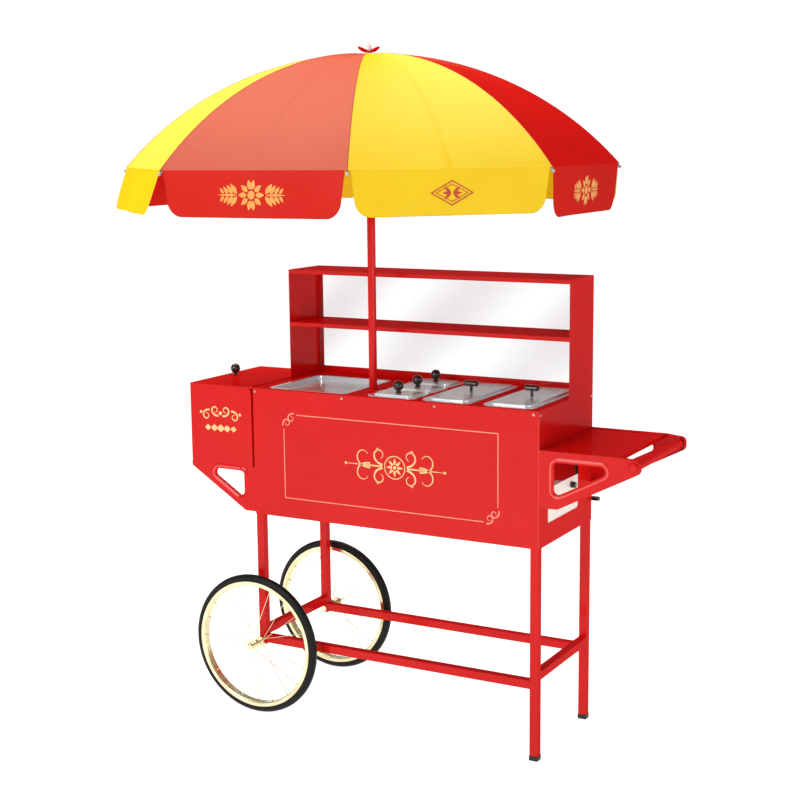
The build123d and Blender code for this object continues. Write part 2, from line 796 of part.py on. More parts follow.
# Heating element: one bent tube that enters and leaves by the tank's right end
with BuildPart() as heating_element:
    element_z = tank_bottom + sheet + element_height
    bend = element_spread / 2
    run_start = tank_x1 - sheet
    run_end = tank_x0 + sheet + element_margin + bend
    with BuildLine(Plane.XY.offset(element_z)) as loop:
        Line((run_start, y_middle - bend), (run_end, y_middle - bend))
        ThreePointArc((run_end, y_middle - bend), (run_end - bend, y_middle), (run_end, y_middle + bend))
        Line((run_end, y_middle + bend), (run_start, y_middle + bend))
    with BuildSketch(Plane(origin=(run_start, y_middle - bend, element_z), z_dir=(-1, 0, 0))):
        Circle(element_radius)
    sweep(path=loop.wires()[0])
save(heating_element.part, "heating_element")

# Heat control: a pale box behind the window, with a face plate and the dial's shaft
dial_y = y_front + dial_from_front
face_x = x_right - sheet
with BuildPart() as control_box:
    control_y0 = y_front + control_front
    control_z1 = control_bottom + control_height
    with BuildSketch(side_plane(face_x)):
        span(control_y0, control_y0 + control_width, control_bottom, control_z1, edge_round)
    extrude(amount=-sheet)
    with BuildSketch(side_plane(face_x - sheet)):
        span(control_y0 + control_margin, control_y0 + control_width - control_margin,
             control_bottom + control_margin, control_z1 - 3 * control_margin, edge_round)
    extrude(amount=-control_depth)
    with BuildSketch(side_plane(face_x)):
        with Locations((dial_y, dial_height)):
            Circle(dial_shaft_radius)
    extrude(amount=dial_shaft_length)
save(control_box.part, "control_box")

# Thermostat dial: a skirted knob with a raised grip bar
with BuildPart() as thermostat_knob:
    dial_base = face_x + seat_gap
    with BuildSketch(side_plane(dial_base)):
        with Locations((dial_y, dial_height)):
            Circle(dial_radius)
    extrude(amount=dial_length / 2)
    with BuildSketch(side_plane(dial_base + dial_length / 2)):
        with Locations((dial_y, dial_height)):
            Rectangle(dial_radius / 2, 1.8 * dial_radius)
            Circle(dial_radius * 0.7)
    extrude(amount=dial_length / 2)
    with BuildSketch(side_plane(dial_base)):
        with Locations((dial_y, dial_height)):
            Circle(dial_shaft_radius + running_fit)
    extrude(amount=dial_shaft_length, mode=Mode.SUBTRACT)
save(thermostat_knob.part, "thermostat_knob")

# Drain: a pipe down from the tank, an elbow and a ball valve that points out at the back
drain_x = x_right - drain_from_right
drain_y = y_back - drain_from_back
stem_y = drain_y + drain_run + valve_length / 2
stem_top = drain_height + valve_radius + stem_length
with BuildPart() as drain_valve:
    with BuildSketch(Plane.XY.offset(drain_height)):
        with Locations((drain_x, drain_y)):
            Circle(drain_radius)
    extrude(amount=tank_bottom - drain_height)
    with Locations((drain_x, drain_y, drain_height)):
        Sphere(drain_radius * 1.3)
    with BuildSketch(front_plane(drain_y)):
        with Locations((drain_x, drain_height)):
            Circle(drain_radius)
    extrude(amount=-(drain_run + valve_length + spout_length))
    with BuildSketch(front_plane(drain_y + drain_run)):
        with Locations((drain_x, drain_height)):
            RegularPolygon(valve_radius, 6)
    extrude(amount=-valve_length)
    with BuildSketch(Plane.XY.offset(drain_height)):
        with Locations((drain_x, stem_y)):
            Circle(stem_radius)
    extrude(amount=stem_top - drain_height)
    with BuildSketch(front_plane(stem_y + valve_length / 2)):
        with Locations((drain_x, drain_height)):
            Circle(drain_radius * 0.7)
    extrude(amount=-spout_length, mode=Mode.SUBTRACT)
save(drain_valve.part, "drain_valve")

# Drain lever: a flat lever on the valve's stem, across the pipe when shut
with BuildPart() as drain_lever:
    lever_z = stem_top - lever_wall
    with BuildSketch(Plane.XY.offset(lever_z)):
        with Locations((drain_x + lever_length / 2 - lever_width / 2, stem_y)):
            SlotOverall(lever_length, lever_width)
        with Locations((drain_x, stem_y)):
            Circle(stem_radius + running_fit, mode=Mode.SUBTRACT)
    extrude(amount=lever_wall)
save(drain_lever.part, "drain_lever")


def well(x, y, length, width, depth, corner):
    """A pressed pan hung through the counter by its rim."""
    with BuildPart() as pan:
        with BuildSketch(Plane.XY.offset(counter_height)):
            with Locations((x, y)):
                RectangleRounded(width + 2 * pan_rim, length + 2 * pan_rim, corner + pan_rim)
        extrude(amount=pan_wall)
        with BuildSketch(Plane.XY.offset(counter_height + pan_wall)):
            with Locations((x, y)):
                RectangleRounded(width, length, corner)
        extrude(amount=-depth - pan_wall)
        with BuildSketch(Plane.XY.offset(counter_height + pan_wall)):
            with Locations((x, y)):
                RectangleRounded(width - 2 * pan_wall, length - 2 * pan_wall, corner - pan_wall)
        extrude(amount=-depth, mode=Mode.SUBTRACT)
    return pan.part


hot_pans = [well(x, pan_middle, pan_length, pan_width, pan_depth, pan_corner) for x in well_rows]
condiment_pans = [
    well(condiment_x, y, condiment_length, pan_width, condiment_depth, condiment_corner)
    for y in condiment_rows
]
with BuildPart() as pans:
    add(hot_pans + condiment_pans)
save(pans.part, "pans")

tray_width = tray_x1 - tray_x0 - 2 * pan_rim
serving_tray = well((tray_x0 + tray_x1) / 2, (tray_y0 + tray_y1) / 2, tray_length - 2 * pan_rim, tray_width,
                    tray_depth, tray_corner)
save(serving_tray, "serving_tray")

# Lids rest on the pans' rims
rim_top = counter_height + pan_wall + seat_gap
lid_top = rim_top + lid_crown + lid_plate


def pan_lid(x, y, length, corner):
    """A pressed lid with a raised middle, and a skirt that drops inside the pan."""
    with BuildPart() as lid:
        with BuildSketch(Plane.XY.offset(rim_top)):
            with Locations((x, y)):
                RectangleRounded(pan_width + 2 * pan_rim, length + 2 * pan_rim, corner + pan_rim)
        extrude(amount=lid_plate)
        with BuildSketch(Plane.XY.offset(rim_top - lid_skirt)):
            with Locations((x, y)):
                RectangleRounded(pan_width - lid_margin, length - lid_margin, corner)
        extrude(amount=lid_top - rim_top + lid_skirt)
        with BuildSketch(Plane.XY.offset(rim_top - lid_skirt)):
            with Locations((x, y)):
                inset = lid_margin + 2 * lid_plate
                RectangleRounded(pan_width - inset, length - inset, corner - lid_plate)
        extrude(amount=lid_top - rim_top + lid_skirt - lid_plate, mode=Mode.SUBTRACT)
    return lid.part


def cross_grip(x, y):
    """A cross grip on a short post, standing on a lid."""
    with BuildPart() as grip:
        with BuildSketch(Plane.XY.offset(lid_top)):
            with Locations((x, y)):
                Circle(post_radius)
        extrude(amount=grip_height - grip_radius)
        with BuildSketch(side_plane(x - grip_length / 2)):
            with Locations((y, lid_top + grip_height - grip_radius)):
                Ellipse(grip_radius * 1.2, grip_radius)
        extrude(amount=grip_length)
        fillet(grip.faces().filter_by(Axis.X).edges(), radius=grip_radius / 2)
    return grip.part


for number, x in enumerate(well_rows, 1):
    save(pan_lid(x, pan_middle, pan_length, pan_corner), f"hot_lid_{number}")
    save(cross_grip(x, pan_middle), f"hot_grip_{number}")

for number, y in enumerate(condiment_rows, 1):
    save(pan_lid(condiment_x, y, condiment_length, condiment_corner), f"condiment_lid_{number}")
    save(ball_knob(condiment_x, y, lid_top), f"condiment_knob_{number}")

# Umbrella pole: one rod from the foot of its socket to the crown
with BuildPart() as umbrella_pole:
    pole_foot = socket_floor + socket_wall + seat_gap
    pole_top = canopy_top_z - crown_drop + crown_height / 2 - eye_radius
    with BuildSketch(Plane.XY.offset(pole_foot)):
        with Locations((x_pole, 0)):
            Circle(pole_radius)
    extrude(amount=pole_top - pole_foot)
save(umbrella_pole.part, "umbrella_pole")


def hinge_ring(radius, height, z, hinge_radius, hinge_z, bore):
    """A collar round the pole with a slot and a cross pin for each rib or stretcher."""
    with BuildPart() as ring:
        with BuildSketch(Plane.XY.offset(z)):
            Circle(radius)
            Circle(bore, mode=Mode.SUBTRACT)
        extrude(amount=height)
        reach = radius - bore
        with BuildSketch(Plane.XY.offset(z)):
            with PolarLocations(bore + ring_wall + reach / 2, rib_count, start_angle=rib_start):
                Rectangle(reach, slot_width)
        extrude(amount=height, mode=Mode.SUBTRACT)
        for angle in rib_angles:
            across = Vector(-sin(radians(angle)), cos(radians(angle)), 0)
            centre = Vector(hinge_radius * cos(radians(angle)), hinge_radius * sin(radians(angle)), hinge_z)
            pin_half = slot_width / 2 + eye_pin_radius
            with BuildSketch(Plane(origin=centre - across * pin_half, z_dir=across)):
                Circle(eye_pin_radius)
            extrude(amount=2 * pin_half)
    return Pos(x_pole, 0, 0) * ring.part


crown_z = canopy_top_z - crown_drop - crown_height / 2 - eye_radius
umbrella_crown = hinge_ring(crown_radius, crown_height, crown_z, crown_hinge_radius, rib_hinge[1],
                            pole_radius + seat_gap)
save(umbrella_crown, "umbrella_crown")

runner_hinge = (runner_hinge_radius, runner_z + runner_height / 4)
runner_ring = hinge_ring(runner_radius, runner_height / 2, runner_z, runner_hinge_radius, runner_hinge[1],
                         pole_radius + loose_fit)
with BuildPart() as umbrella_runner:
    add(runner_ring)
    with BuildSketch(Plane.XY.offset(runner_z - runner_height / 2)):
        with Locations((x_pole, 0)):
            Circle(runner_radius * 0.7)
            Circle(pole_radius + loose_fit, mode=Mode.SUBTRACT)
    extrude(amount=runner_height / 2)
save(umbrella_runner.part, "umbrella_runner")

# Finial: a pointed cap over an upturned collar of cloth at the top of the canopy
with BuildPart() as finial:
    stalk = canopy_top_radius / 3
    collar_z = canopy_top_z + cloth
    petal_z = collar_z + petal_rise
    with BuildSketch(Plane.XZ):
        with BuildLine():
            Polyline((0, pole_top), (stalk, pole_top), (stalk, collar_z))
            Line((stalk, collar_z), (petal_radius * 0.6, collar_z))
            Line((petal_radius * 0.6, collar_z), (petal_radius, petal_z))
            Line((petal_radius, petal_z), (petal_radius - cloth, petal_z + cloth))
            Polyline((petal_radius - cloth, petal_z + cloth), (petal_radius * 0.5, collar_z + 2 * cloth),
                     (2 * stalk, collar_z + 2 * cloth))
            Spline((2 * stalk, collar_z + 2 * cloth), (stalk, collar_z + finial_height / 2),
                   (0, canopy_top_z + finial_height))
            Line((0, canopy_top_z + finial_height), (0, pole_top))
        make_face()
    revolve(axis=Axis.Z)
save(Pos(x_pole, 0, 0) * finial.part, "finial")


# Stretcher pivots on the ribs
pivot_drop = (rib_curve ** 2 - (stretcher_reach - rib_centre[0]) ** 2) ** 0.5
pivot = (stretcher_reach, rib_centre[1] + pivot_drop)
stretcher_run = (pivot[0] - runner_hinge[0], pivot[1] - runner_hinge[1])
stretcher_length = hypot(*stretcher_run)
stretcher_tilt = degrees(atan2(stretcher_run[1], stretcher_run[0]))

# Rib: a bowed steel rod from its eye in the crown to a ball tip past the canopy's corner
with BuildPart() as rib:
    with BuildLine(Plane.XZ) as rib_line:
        ThreePointArc(rib_hinge, rib_mid, rib_rim)
        Line(rib_rim, rib_tip)
    rib_path = rib_line.wires()[0]
    with BuildSketch(Plane(origin=rib_path @ 0, z_dir=rib_path % 0)):
        Circle(rib_radius)
    sweep(path=rib_path)
    with BuildSketch(Plane.XZ):
        with Locations(rib_hinge):
            Circle(eye_radius)
    extrude(amount=eye_width / 2, both=True)
    with Locations((rib_tip[0], 0, rib_tip[1])):
        Sphere(rib_tip_radius)
    with BuildSketch(Plane.XZ):
        with Locations(rib_hinge):
            Circle(eye_pin_radius + running_fit)
    extrude(amount=slot_width, both=True, mode=Mode.SUBTRACT)

# Stretcher: a rod from its eye in the runner to a fork that straddles the rib
along = Vector(cos(radians(stretcher_tilt)), 0, sin(radians(stretcher_tilt)))
stretcher_plane = Plane(origin=(runner_hinge[0], 0, runner_hinge[1]), x_dir=along, z_dir=(0, -1, 0))
with BuildPart() as stretcher:
    with BuildSketch(stretcher_plane):
        Circle(eye_radius)
    extrude(amount=eye_width / 2, both=True)
    with BuildSketch(Plane(origin=stretcher_plane.origin, z_dir=along)):
        Circle(rib_radius)
    extrude(amount=stretcher_length - fork_length)
    with BuildSketch(stretcher_plane):
        span(stretcher_length - fork_length, stretcher_length + fork_tip, -fork_half, fork_half)
    extrude(amount=fork_gap + fork_wall, both=True)
    with BuildSketch(stretcher_plane):
        span(stretcher_length - fork_crotch, stretcher_length + fork_length, -fork_length, fork_length)
    extrude(amount=fork_gap, both=True, mode=Mode.SUBTRACT)
    with BuildSketch(stretcher_plane):
        Circle(eye_pin_radius + running_fit)
    extrude(amount=slot_width, both=True, mode=Mode.SUBTRACT)

for number, angle in enumerate(rib_angles, 1):
    place = Pos(x_pole, 0, 0) * Rot(0, 0, angle)
    save(place * rib.part, f"rib_{number}")
    save(place * stretcher.part, f"stretcher_{number}")

# One canopy panel: a cloth gore curved over the ribs, straight from rib to rib, with its hanging flap
narrow = cos(radians(gore_half))
gore_line = [(r * narrow, z) for r, z in canopy_line]
gore_centre, gore_curve = circle_through(*gore_line)
gore_inside = [offset_point(p, gore_centre, -cloth) for p in gore_line]
rim_apothem = gore_line[2][0]
rim_half = canopy_rim_radius * sin(radians(gore_half))
with BuildPart() as gore:
    with BuildSketch(Plane.XZ):
        with BuildLine():
            ThreePointArc(*gore_line)
            Line(gore_line[2], gore_inside[2])
            ThreePointArc(*reversed(gore_inside))
            Line(gore_inside[0], gore_line[0])
        make_face()
    extrude(amount=rim_half + seam_gap, both=True)
    with BuildSketch():
        seam = seam_gap / 2 / sin(radians(gore_half))
        far = canopy_rim_radius + rib_overhang
        with BuildLine():
            Polyline((seam, 0), (seam + far, far * sin(radians(gore_half)) / narrow),
                     (seam + far, -far * sin(radians(gore_half)) / narrow), close=True)
        make_face()
    extrude(amount=canopy_top_z + cloth, mode=Mode.INTERSECT)
    flap_top = canopy_rim_z + cloth / 2
    flap_low = canopy_rim_z - valance_drop
    with BuildSketch(Plane.YZ.offset(rim_apothem - 2 * cloth)) as flap:
        flap_half = rim_half - valance_gap / 2
        foot_half = flap_half - valance_taper
        with BuildLine():
            Polyline((-flap_half, flap_top), (flap_half, flap_top), (foot_half, flap_low),
                     (-foot_half, flap_low), close=True)
        make_face()
        fillet(flap.vertices().group_by(Axis.Y)[0], radius=valance_corner)
    extrude(amount=cloth)

for colour, first in (("yellow", 0), ("red", 1)):
    turns = [rib_angles[k] + gore_half for k in range(first, rib_count, 2)]
    gores = [Pos(x_pole, 0, 0) * Rot(0, 0, turn) * gore.part for turn in turns]
    with BuildPart() as canopy:
        add(gores)
    save(canopy.part, f"canopy_{colour}")
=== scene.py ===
"""Studio scene of a red hot dog cart with a folding umbrella.

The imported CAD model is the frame. Each piece made here is placed from that frame and rides on one of its
bodies. Lengths are metres in the frame's own axes: +Z up, the serving front at -Y, the push handle at +X.
Names that end in mm hold millimetres.
"""

from __future__ import annotations

import json
import logging
import math
from dataclasses import dataclass, field, replace
from enum import Enum
from functools import cache
from typing import Sequence

import bpy
from mathutils import Matrix, Vector

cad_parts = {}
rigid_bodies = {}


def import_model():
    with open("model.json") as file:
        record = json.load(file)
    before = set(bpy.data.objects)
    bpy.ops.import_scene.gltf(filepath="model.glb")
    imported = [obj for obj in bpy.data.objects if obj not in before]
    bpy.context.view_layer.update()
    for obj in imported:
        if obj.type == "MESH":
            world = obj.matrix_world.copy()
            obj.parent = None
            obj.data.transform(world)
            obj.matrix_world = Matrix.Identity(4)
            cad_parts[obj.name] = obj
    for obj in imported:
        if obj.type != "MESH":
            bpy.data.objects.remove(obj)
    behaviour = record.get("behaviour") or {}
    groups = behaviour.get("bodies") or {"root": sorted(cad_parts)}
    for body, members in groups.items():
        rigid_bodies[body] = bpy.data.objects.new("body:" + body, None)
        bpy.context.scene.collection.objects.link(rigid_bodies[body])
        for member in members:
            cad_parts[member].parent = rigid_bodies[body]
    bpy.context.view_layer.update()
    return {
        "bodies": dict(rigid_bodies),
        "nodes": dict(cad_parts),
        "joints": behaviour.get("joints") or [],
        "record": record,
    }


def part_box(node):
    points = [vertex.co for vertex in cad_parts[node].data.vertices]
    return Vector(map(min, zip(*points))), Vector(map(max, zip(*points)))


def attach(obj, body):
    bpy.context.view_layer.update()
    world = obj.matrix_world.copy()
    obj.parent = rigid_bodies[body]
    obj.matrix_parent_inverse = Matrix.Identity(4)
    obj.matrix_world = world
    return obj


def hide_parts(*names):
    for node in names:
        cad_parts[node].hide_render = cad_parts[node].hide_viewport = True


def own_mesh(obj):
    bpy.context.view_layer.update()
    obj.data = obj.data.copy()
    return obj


LOG = logging.getLogger("hot_dog_cart")
MM = 0.001

Socket = bpy.types.NodeSocket
Pair = tuple[float, float]
Triple = tuple[float, float, float]


class Process(Enum):
    """How a surface was made, which decides the pattern that its material shows."""

    ENAMEL = "sprayed and baked enamel"
    BRUSHED = "brushed sheet"
    PLATED = "bright plate"
    DRAWN = "drawn and zinc plated rod"
    RUBBER = "moulded rubber"
    PHENOLIC = "pressed and polished phenolic"
    MOULDED = "injection moulded plastic"
    CAST_PANE = "cast clear sheet"
    CANVAS = "coated woven cloth"
    STRIPING = "hand laid striping paint"
    PAPER = "matt seamless paper"


@dataclass(frozen=True)
class Finish:
    """A real material and the look that its process gives it. Colours are hex sRGB."""

    name: str
    process: Process
    colour: str
    shade: str  # what the colour drifts to in slow patches
    roughness: Pair  # lowest and highest
    patch_mm: float  # size of the patches
    grain_mm: float  # size of the fine relief
    relief_mm: float  # depth of the fine relief


# Sprayed sheet steel keeps a faint orange peel of about 3 mm under a hard gloss
RED_ENAMEL = Finish(
    "red_enamel_baked_steel", Process.ENAMEL, "d01513", "c81211", (0.22, 0.3), 420, 3, 0.006
)
# Pressed pans and lids are brushed along their length
STAINLESS = Finish(
    "stainless_steel_brushed", Process.BRUSHED, "e6eff5", "d6e1e8", (0.16, 0.28), 90, 0.6, 0.01
)
# Rims, spokes and hubs carry a thin bright brass plate over polished steel
BRASS = Finish("brass_bright_plate", Process.PLATED, "f1eacb", "dcd3a2", (0.14, 0.26), 60, 1.5, 0.008)
# Umbrella rods are drawn wire with a dull zinc plate
ROD_STEEL = Finish("steel_rod_zinc_plate", Process.DRAWN, "b9bbbd", "9c9ea2", (0.3, 0.45), 40, 0.8, 0.01)
# Solid tyres have a matt moulded skin with a little dust in it
TYRE_RUBBER = Finish("tyre_rubber_moulded", Process.RUBBER, "080909", "101010", (0.36, 0.5), 70, 1.2, 0.05)
# Ball knobs and grips are hot pressed phenolic, tumbled to a gloss
PHENOLIC = Finish(
    "black_phenolic_pressed", Process.PHENOLIC, "0d0d0e", "19191b", (0.12, 0.26), 18, 1, 0.006
)
# Feet, drain pipe and valve are black plastic with a satin mould texture
BLACK_PLASTIC = Finish(
    "black_polythene_moulded", Process.MOULDED, "0b0b0b", "141414", (0.42, 0.58), 15, 0.7, 0.02
)
# Crown, runner, finial and the heat control's case are natural nylon
PALE_PLASTIC = Finish(
    "natural_nylon_moulded", Process.MOULDED, "f1eee7", "e8e4da", (0.34, 0.48), 20, 0.7, 0.015
)
# The hutch's back is cast clear acrylic, wiped but not spotless, its grey laid in slanting bands of painted
# sheen
CLEAR_PANE = Finish(
    "clear_acrylic_cast", Process.CAST_PANE, "d3d7da", "c6cbcf", (0.03, 0.09), 150, 30, 0.02
)
# Canopy panels are vinyl coated polyester with a weave of about 1 mm
RED_CLOTH = Finish(
    "red_coated_polyester_woven", Process.CANVAS, "cf0709", "c70507", (0.4, 0.48), 200, 1.1, 0.07
)
YELLOW_CLOTH = replace(RED_CLOTH, name="yellow_coated_polyester_woven", colour="f1cf10", shade="ecc80b")
# The border is a thin coat of pale striping paint that the red shows through
BORDER_STRIPE = Finish(
    "salmon_striping_paint", Process.STRIPING, "f2a08c", "e88c78", (0.34, 0.44), 40, 1.2, 0.03
)
# The ornament is gold striping paint
GOLD_STRIPE = replace(BORDER_STRIPE, name="gold_striping_paint", colour="f4cd92", shade="ecbd7c")
# Painted highlight: a lighter red film on the raised edges of the enamel, where they would catch the light
PAINTED_EDGE_HIGHLIGHT = Finish(
    "red_enamel_painted_highlight", Process.STRIPING, "e4504a", "da433d", (0.26, 0.36), 60, 3, 0.006
)
# The flaps are printed with a thin flat ink
GOLD_INK = Finish("gold_screen_ink", Process.STRIPING, "eda04a", "e4933c", (0.5, 0.62), 30, 1.1, 0.02)
RED_INK = replace(GOLD_INK, name="dark_red_screen_ink", colour="c23a14", shade="b53110")
# The studio floor is a roll of white paper
FLOOR_PAPER = Finish("white_seamless_paper", Process.PAPER, "bebebd", "bbbbba", (0.85, 0.95), 900, 2, 0.05)

SLOT_FINISHES = {
    "red_enamel": RED_ENAMEL,
    "stainless": STAINLESS,
    "brass_plate": BRASS,
    "rib_steel": ROD_STEEL,
    "tyre_rubber": TYRE_RUBBER,
    "black_phenolic": PHENOLIC,
    "black_plastic": BLACK_PLASTIC,
    "pale_plastic": PALE_PLASTIC,
    "clear_pane": CLEAR_PANE,
    "red_cloth": RED_CLOTH,
    "yellow_cloth": YELLOW_CLOTH,
}

# Most of a noise pattern lies between these two values
NOISE_MIDDLE = (0.3, 0.7)
# Blender's straight and slanting wave bands repeat at these lengths for a scale of 1
WAVE_LENGTH, SLANT_LENGTH = math.pi / 10, math.pi / 5
# Enamel: slow waves of the sheet under it, then share and roughness of its gloss
ENAMEL_WAVE_MM, ENAMEL_WAVE_DEPTH_MM = 160, 0.04
ENAMEL_GLOSS = (0.018, 0.16)
# Brushed sheet: the lines run along Y, and a film of grease dulls the metal
BRUSH_STRETCH = (1.0, 120.0, 1.0)
BRUSHED_METAL = 0.6
# Clear pane: wipe marks run upwards, and slanting bands of grey are painted sheen
WIPE_STRETCH = (1.0, 1.0, 5.0)
PANE_SHEEN_BAND_MM = 430
PANE_SHEEN_BEND = 1.2
PANE_SHEEN_ALPHA = (0.015, 0.16)
# Painted sheen: canopy cloth turns paler where it faces this way, from the first to the second cosine,
# standing in for light glancing off it
SHEEN_FACING = (-0.04, -0.62, 0.78)
SHEEN_COSINES = (0.73, 0.93)
SHEEN_COLOURS = {RED_CLOTH.name: "c76150", YELLOW_CLOTH.name: "f1dc52"}
# Canopy cloth: size and depth of its creases and wrinkles, its gloss, and the light that it lets through
CREASE_MM, CREASE_DEPTH_MM = 240, 5
WRINKLE_MM, WRINKLE_DEPTH_MM = 90, 3
CANVAS_GLOSS, CANVAS_GLOSS_TINT = (0.03, 0.4), "ffe6c4"
CANVAS_GLOW = 0.18
# The other processes leave a plain fine relief, and some of them these shader inputs
PLAIN_INPUTS = {
    Process.PLATED: {"Metallic": 1.0},
    Process.DRAWN: {"Metallic": 1.0},
    Process.RUBBER: {"Specular_IOR_Level": 0.22},
    Process.PHENOLIC: {"Coat_Weight": 0.5, "Coat_Roughness": 0.06},
    Process.PAPER: {"Emission_Color": (1.0, 1.0, 1.0, 1.0), "Emission_Strength": 0.84},
}


def linear(colour: str) -> tuple[float, float, float, float]:
    """Turn a hex sRGB colour into linear light.

    Args:
        colour: six hex digits.

    Returns:
        Red, green, blue and an alpha of 1.
    """
    values = [int(colour[k : k + 2], 16) / 255 for k in (0, 2, 4)]
    red, green, blue = (v / 12.92 if v <= 0.04045 else ((v + 0.055) / 1.055) ** 2.4 for v in values)
    return red, green, blue, 1.0


def feed(tree: bpy.types.NodeTree, socket: Socket, value: object) -> None:
    """Set an input, or link it.

    Args:
        tree: node tree of the input.
        socket: the input.
        value: its value, or the output that feeds it.
    """
    if isinstance(value, Socket):
        tree.links.new(value, socket)
    else:
        socket.default_value = value


def add_node(
    tree: bpy.types.NodeTree, kind: str, inputs: dict | None = None, output: int | str = 0, **settings: object
) -> Socket:
    """Add one node, with its settings and its inputs.

    Args:
        tree: node tree that takes the node.
        kind: Blender's name for the node type, less its first word.
        inputs: value or source socket for each input, by name or number.
        output: name or number of the output that is wanted.
        settings: attributes of the node itself.

    Returns:
        That output.
    """
    node = tree.nodes.new(f"ShaderNode{kind}")
    for name, value in settings.items():
        setattr(node, name, value)
    for key, value in (inputs or {}).items():
        feed(tree, node.inputs[key], value)
    return node.outputs[output]


def map_range(
    tree: bpy.types.NodeTree, value: Socket, target: Pair, source: Pair = NOISE_MIDDLE, smooth: bool = False
) -> Socket:
    """Carry a value from one range over to another.

    Args:
        tree: node tree of the value.
        value: the value.
        target: ends of the range that it goes to.
        source: ends of the range that it comes from.
        smooth: whether it eases in and out at the ends.

    Returns:
        The value in the new range.
    """
    names = ("From Min", "From Max", "To Min", "To Max")
    inputs = {"Value": value, **dict(zip(names, source + target))}
    easing = "SMOOTHSTEP" if smooth else "LINEAR"
    return add_node(tree, "MapRange", inputs, interpolation_type=easing)


@dataclass
class Surface:
    """The node tree of one finish, built around a Principled shader."""

    finish: Finish

    def __post_init__(self) -> None:
        """Make the material."""
        finish = self.finish
        self.grain, self.depth = finish.grain_mm * MM, finish.relief_mm * MM
        self.material = bpy.data.materials.new(finish.name)
        self.material.use_nodes = True
        self.tree = self.material.node_tree
        self.shader = self.tree.nodes["Principled BSDF"]
        self.place = add_node(self.tree, "TexCoord", output="Object")
        self._drift()
        build = {
            Process.ENAMEL: self._enamel,
            Process.BRUSHED: self._brushed,
            Process.CAST_PANE: self._pane,
            Process.CANVAS: self._canvas,
        }
        build.get(finish.process, self._plain)()

    def noise(
        self, size: float, detail: float = 3.0, stretch: Triple | None = None, **settings: object
    ) -> Socket:
        """A noise pattern of a real size.

        Args:
            size: size of its features, in metres.
            detail: octaves of finer noise.
            stretch: share of the size along X, Y and Z, for a drawn out grain.
            settings: attributes of the noise node.

        Returns:
            The pattern, from 0 to 1.
        """
        vector = self.place
        if stretch:
            inputs = {"Vector": vector, "Scale": tuple(1 / share for share in stretch)}
            vector = add_node(self.tree, "Mapping", inputs)
        inputs = {"Vector": vector, "Scale": 1 / size, "Detail": detail}
        return add_node(self.tree, "TexNoise", inputs, **settings)

    def blend(self, share: Socket, first: object, second: object) -> Socket:
        """Mix two colours by the share of the second."""
        return add_node(self.tree, "Mix", {0: share, 6: first, 7: second}, 2, data_type="RGBA")

    def relief(self, height: Socket, depth: float, under: Socket | None = None) -> Socket:
        """Turn a pattern into fine relief.

        Args:
            height: the pattern.
            depth: depth from its lowest to its highest point, in metres.
            under: relief that this one lies on.

        Returns:
            The changed normal.
        """
        inputs = {"Height": height, "Distance": depth, "Strength": 1.0}
        if under is not None:
            inputs["Normal"] = under
        return add_node(self.tree, "Bump", inputs)

    def set(self, **sockets: object) -> None:
        """Set or link sockets of the shader, named with underscores."""
        for name, value in sockets.items():
            feed(self.tree, self.shader.inputs[name.replace("_", " ")], value)

    def show(self, shader: Socket) -> None:
        """Give the material another shader than the Principled one."""
        feed(self.tree, self.tree.nodes["Material Output"].inputs["Surface"], shader)

    def gloss(self, amount: Pair, normal: Socket, tint: str = "ffffff") -> Socket:
        """Lay an even gloss over the shader, the same from every side.

        Args:
            amount: share of the light that it throws back, and its roughness.
            normal: relief that it follows.
            tint: its colour, hex sRGB.

        Returns:
            The shader with its gloss.
        """
        share, roughness = amount
        self.set(Specular_IOR_Level=0.0)
        inputs = {"Color": linear(tint), "Roughness": roughness, "Normal": normal}
        shine = add_node(self.tree, "BsdfGlossy", inputs)
        return add_node(self.tree, "MixShader", {0: share, 1: self.shader.outputs[0], 2: shine})

    def _drift(self) -> None:
        """Give the colour and the roughness their slow drift."""
        finish, patch = self.finish, self.finish.patch_mm * MM
        share = map_range(self.tree, self.noise(patch), (0.0, 1.0))
        self.colour = self.blend(share, linear(finish.colour), linear(finish.shade))
        dull = map_range(self.tree, self.noise(patch / 4, 5.0), finish.roughness)
        self.set(Base_Color=self.colour, Roughness=dull)

    def _plain(self) -> None:
        """Fine even relief, as a mould, a brush or a paper machine leaves it."""
        relief = self.relief(self.noise(self.grain), self.depth)
        self.set(Normal=relief, **PLAIN_INPUTS.get(self.finish.process, {}))

    def _enamel(self) -> None:
        """Orange peel under a hard clear gloss."""
        peel = self.relief(self.noise(self.grain, 1.0), self.depth)
        wave = self.noise(ENAMEL_WAVE_MM * MM, 1.0)
        skin = self.relief(wave, ENAMEL_WAVE_DEPTH_MM * MM, peel)
        self.set(Normal=skin)
        self.show(self.gloss(ENAMEL_GLOSS, skin))

    def _brushed(self) -> None:
        """Straight brush lines."""
        lines = self.noise(self.grain, 2.0, BRUSH_STRETCH)
        dull = map_range(self.tree, lines, self.finish.roughness)
        self.set(Metallic=BRUSHED_METAL, Roughness=dull, Normal=self.relief(lines, self.depth))

    def _pane(self) -> None:
        """Clear sheet with faint wipe marks and slanting bands of painted sheen."""
        wipes = self.noise(self.grain, 4.0, WIPE_STRETCH)
        inputs = {"Vector": self.place, "Scale": (-1.0, 1.0, 1.0)}
        mirrored = add_node(self.tree, "Mapping", inputs)
        inputs = {
            "Vector": mirrored,
            "Scale": SLANT_LENGTH / (PANE_SHEEN_BAND_MM * MM),
            "Distortion": PANE_SHEEN_BEND,
            "Detail": 1.0,
        }
        bands = add_node(self.tree, "TexWave", inputs, "Fac", bands_direction="DIAGONAL")
        painted_sheen = map_range(self.tree, bands, PANE_SHEEN_ALPHA, (0.0, 1.0))
        self.set(Roughness=map_range(self.tree, wipes, self.finish.roughness), Alpha=painted_sheen)

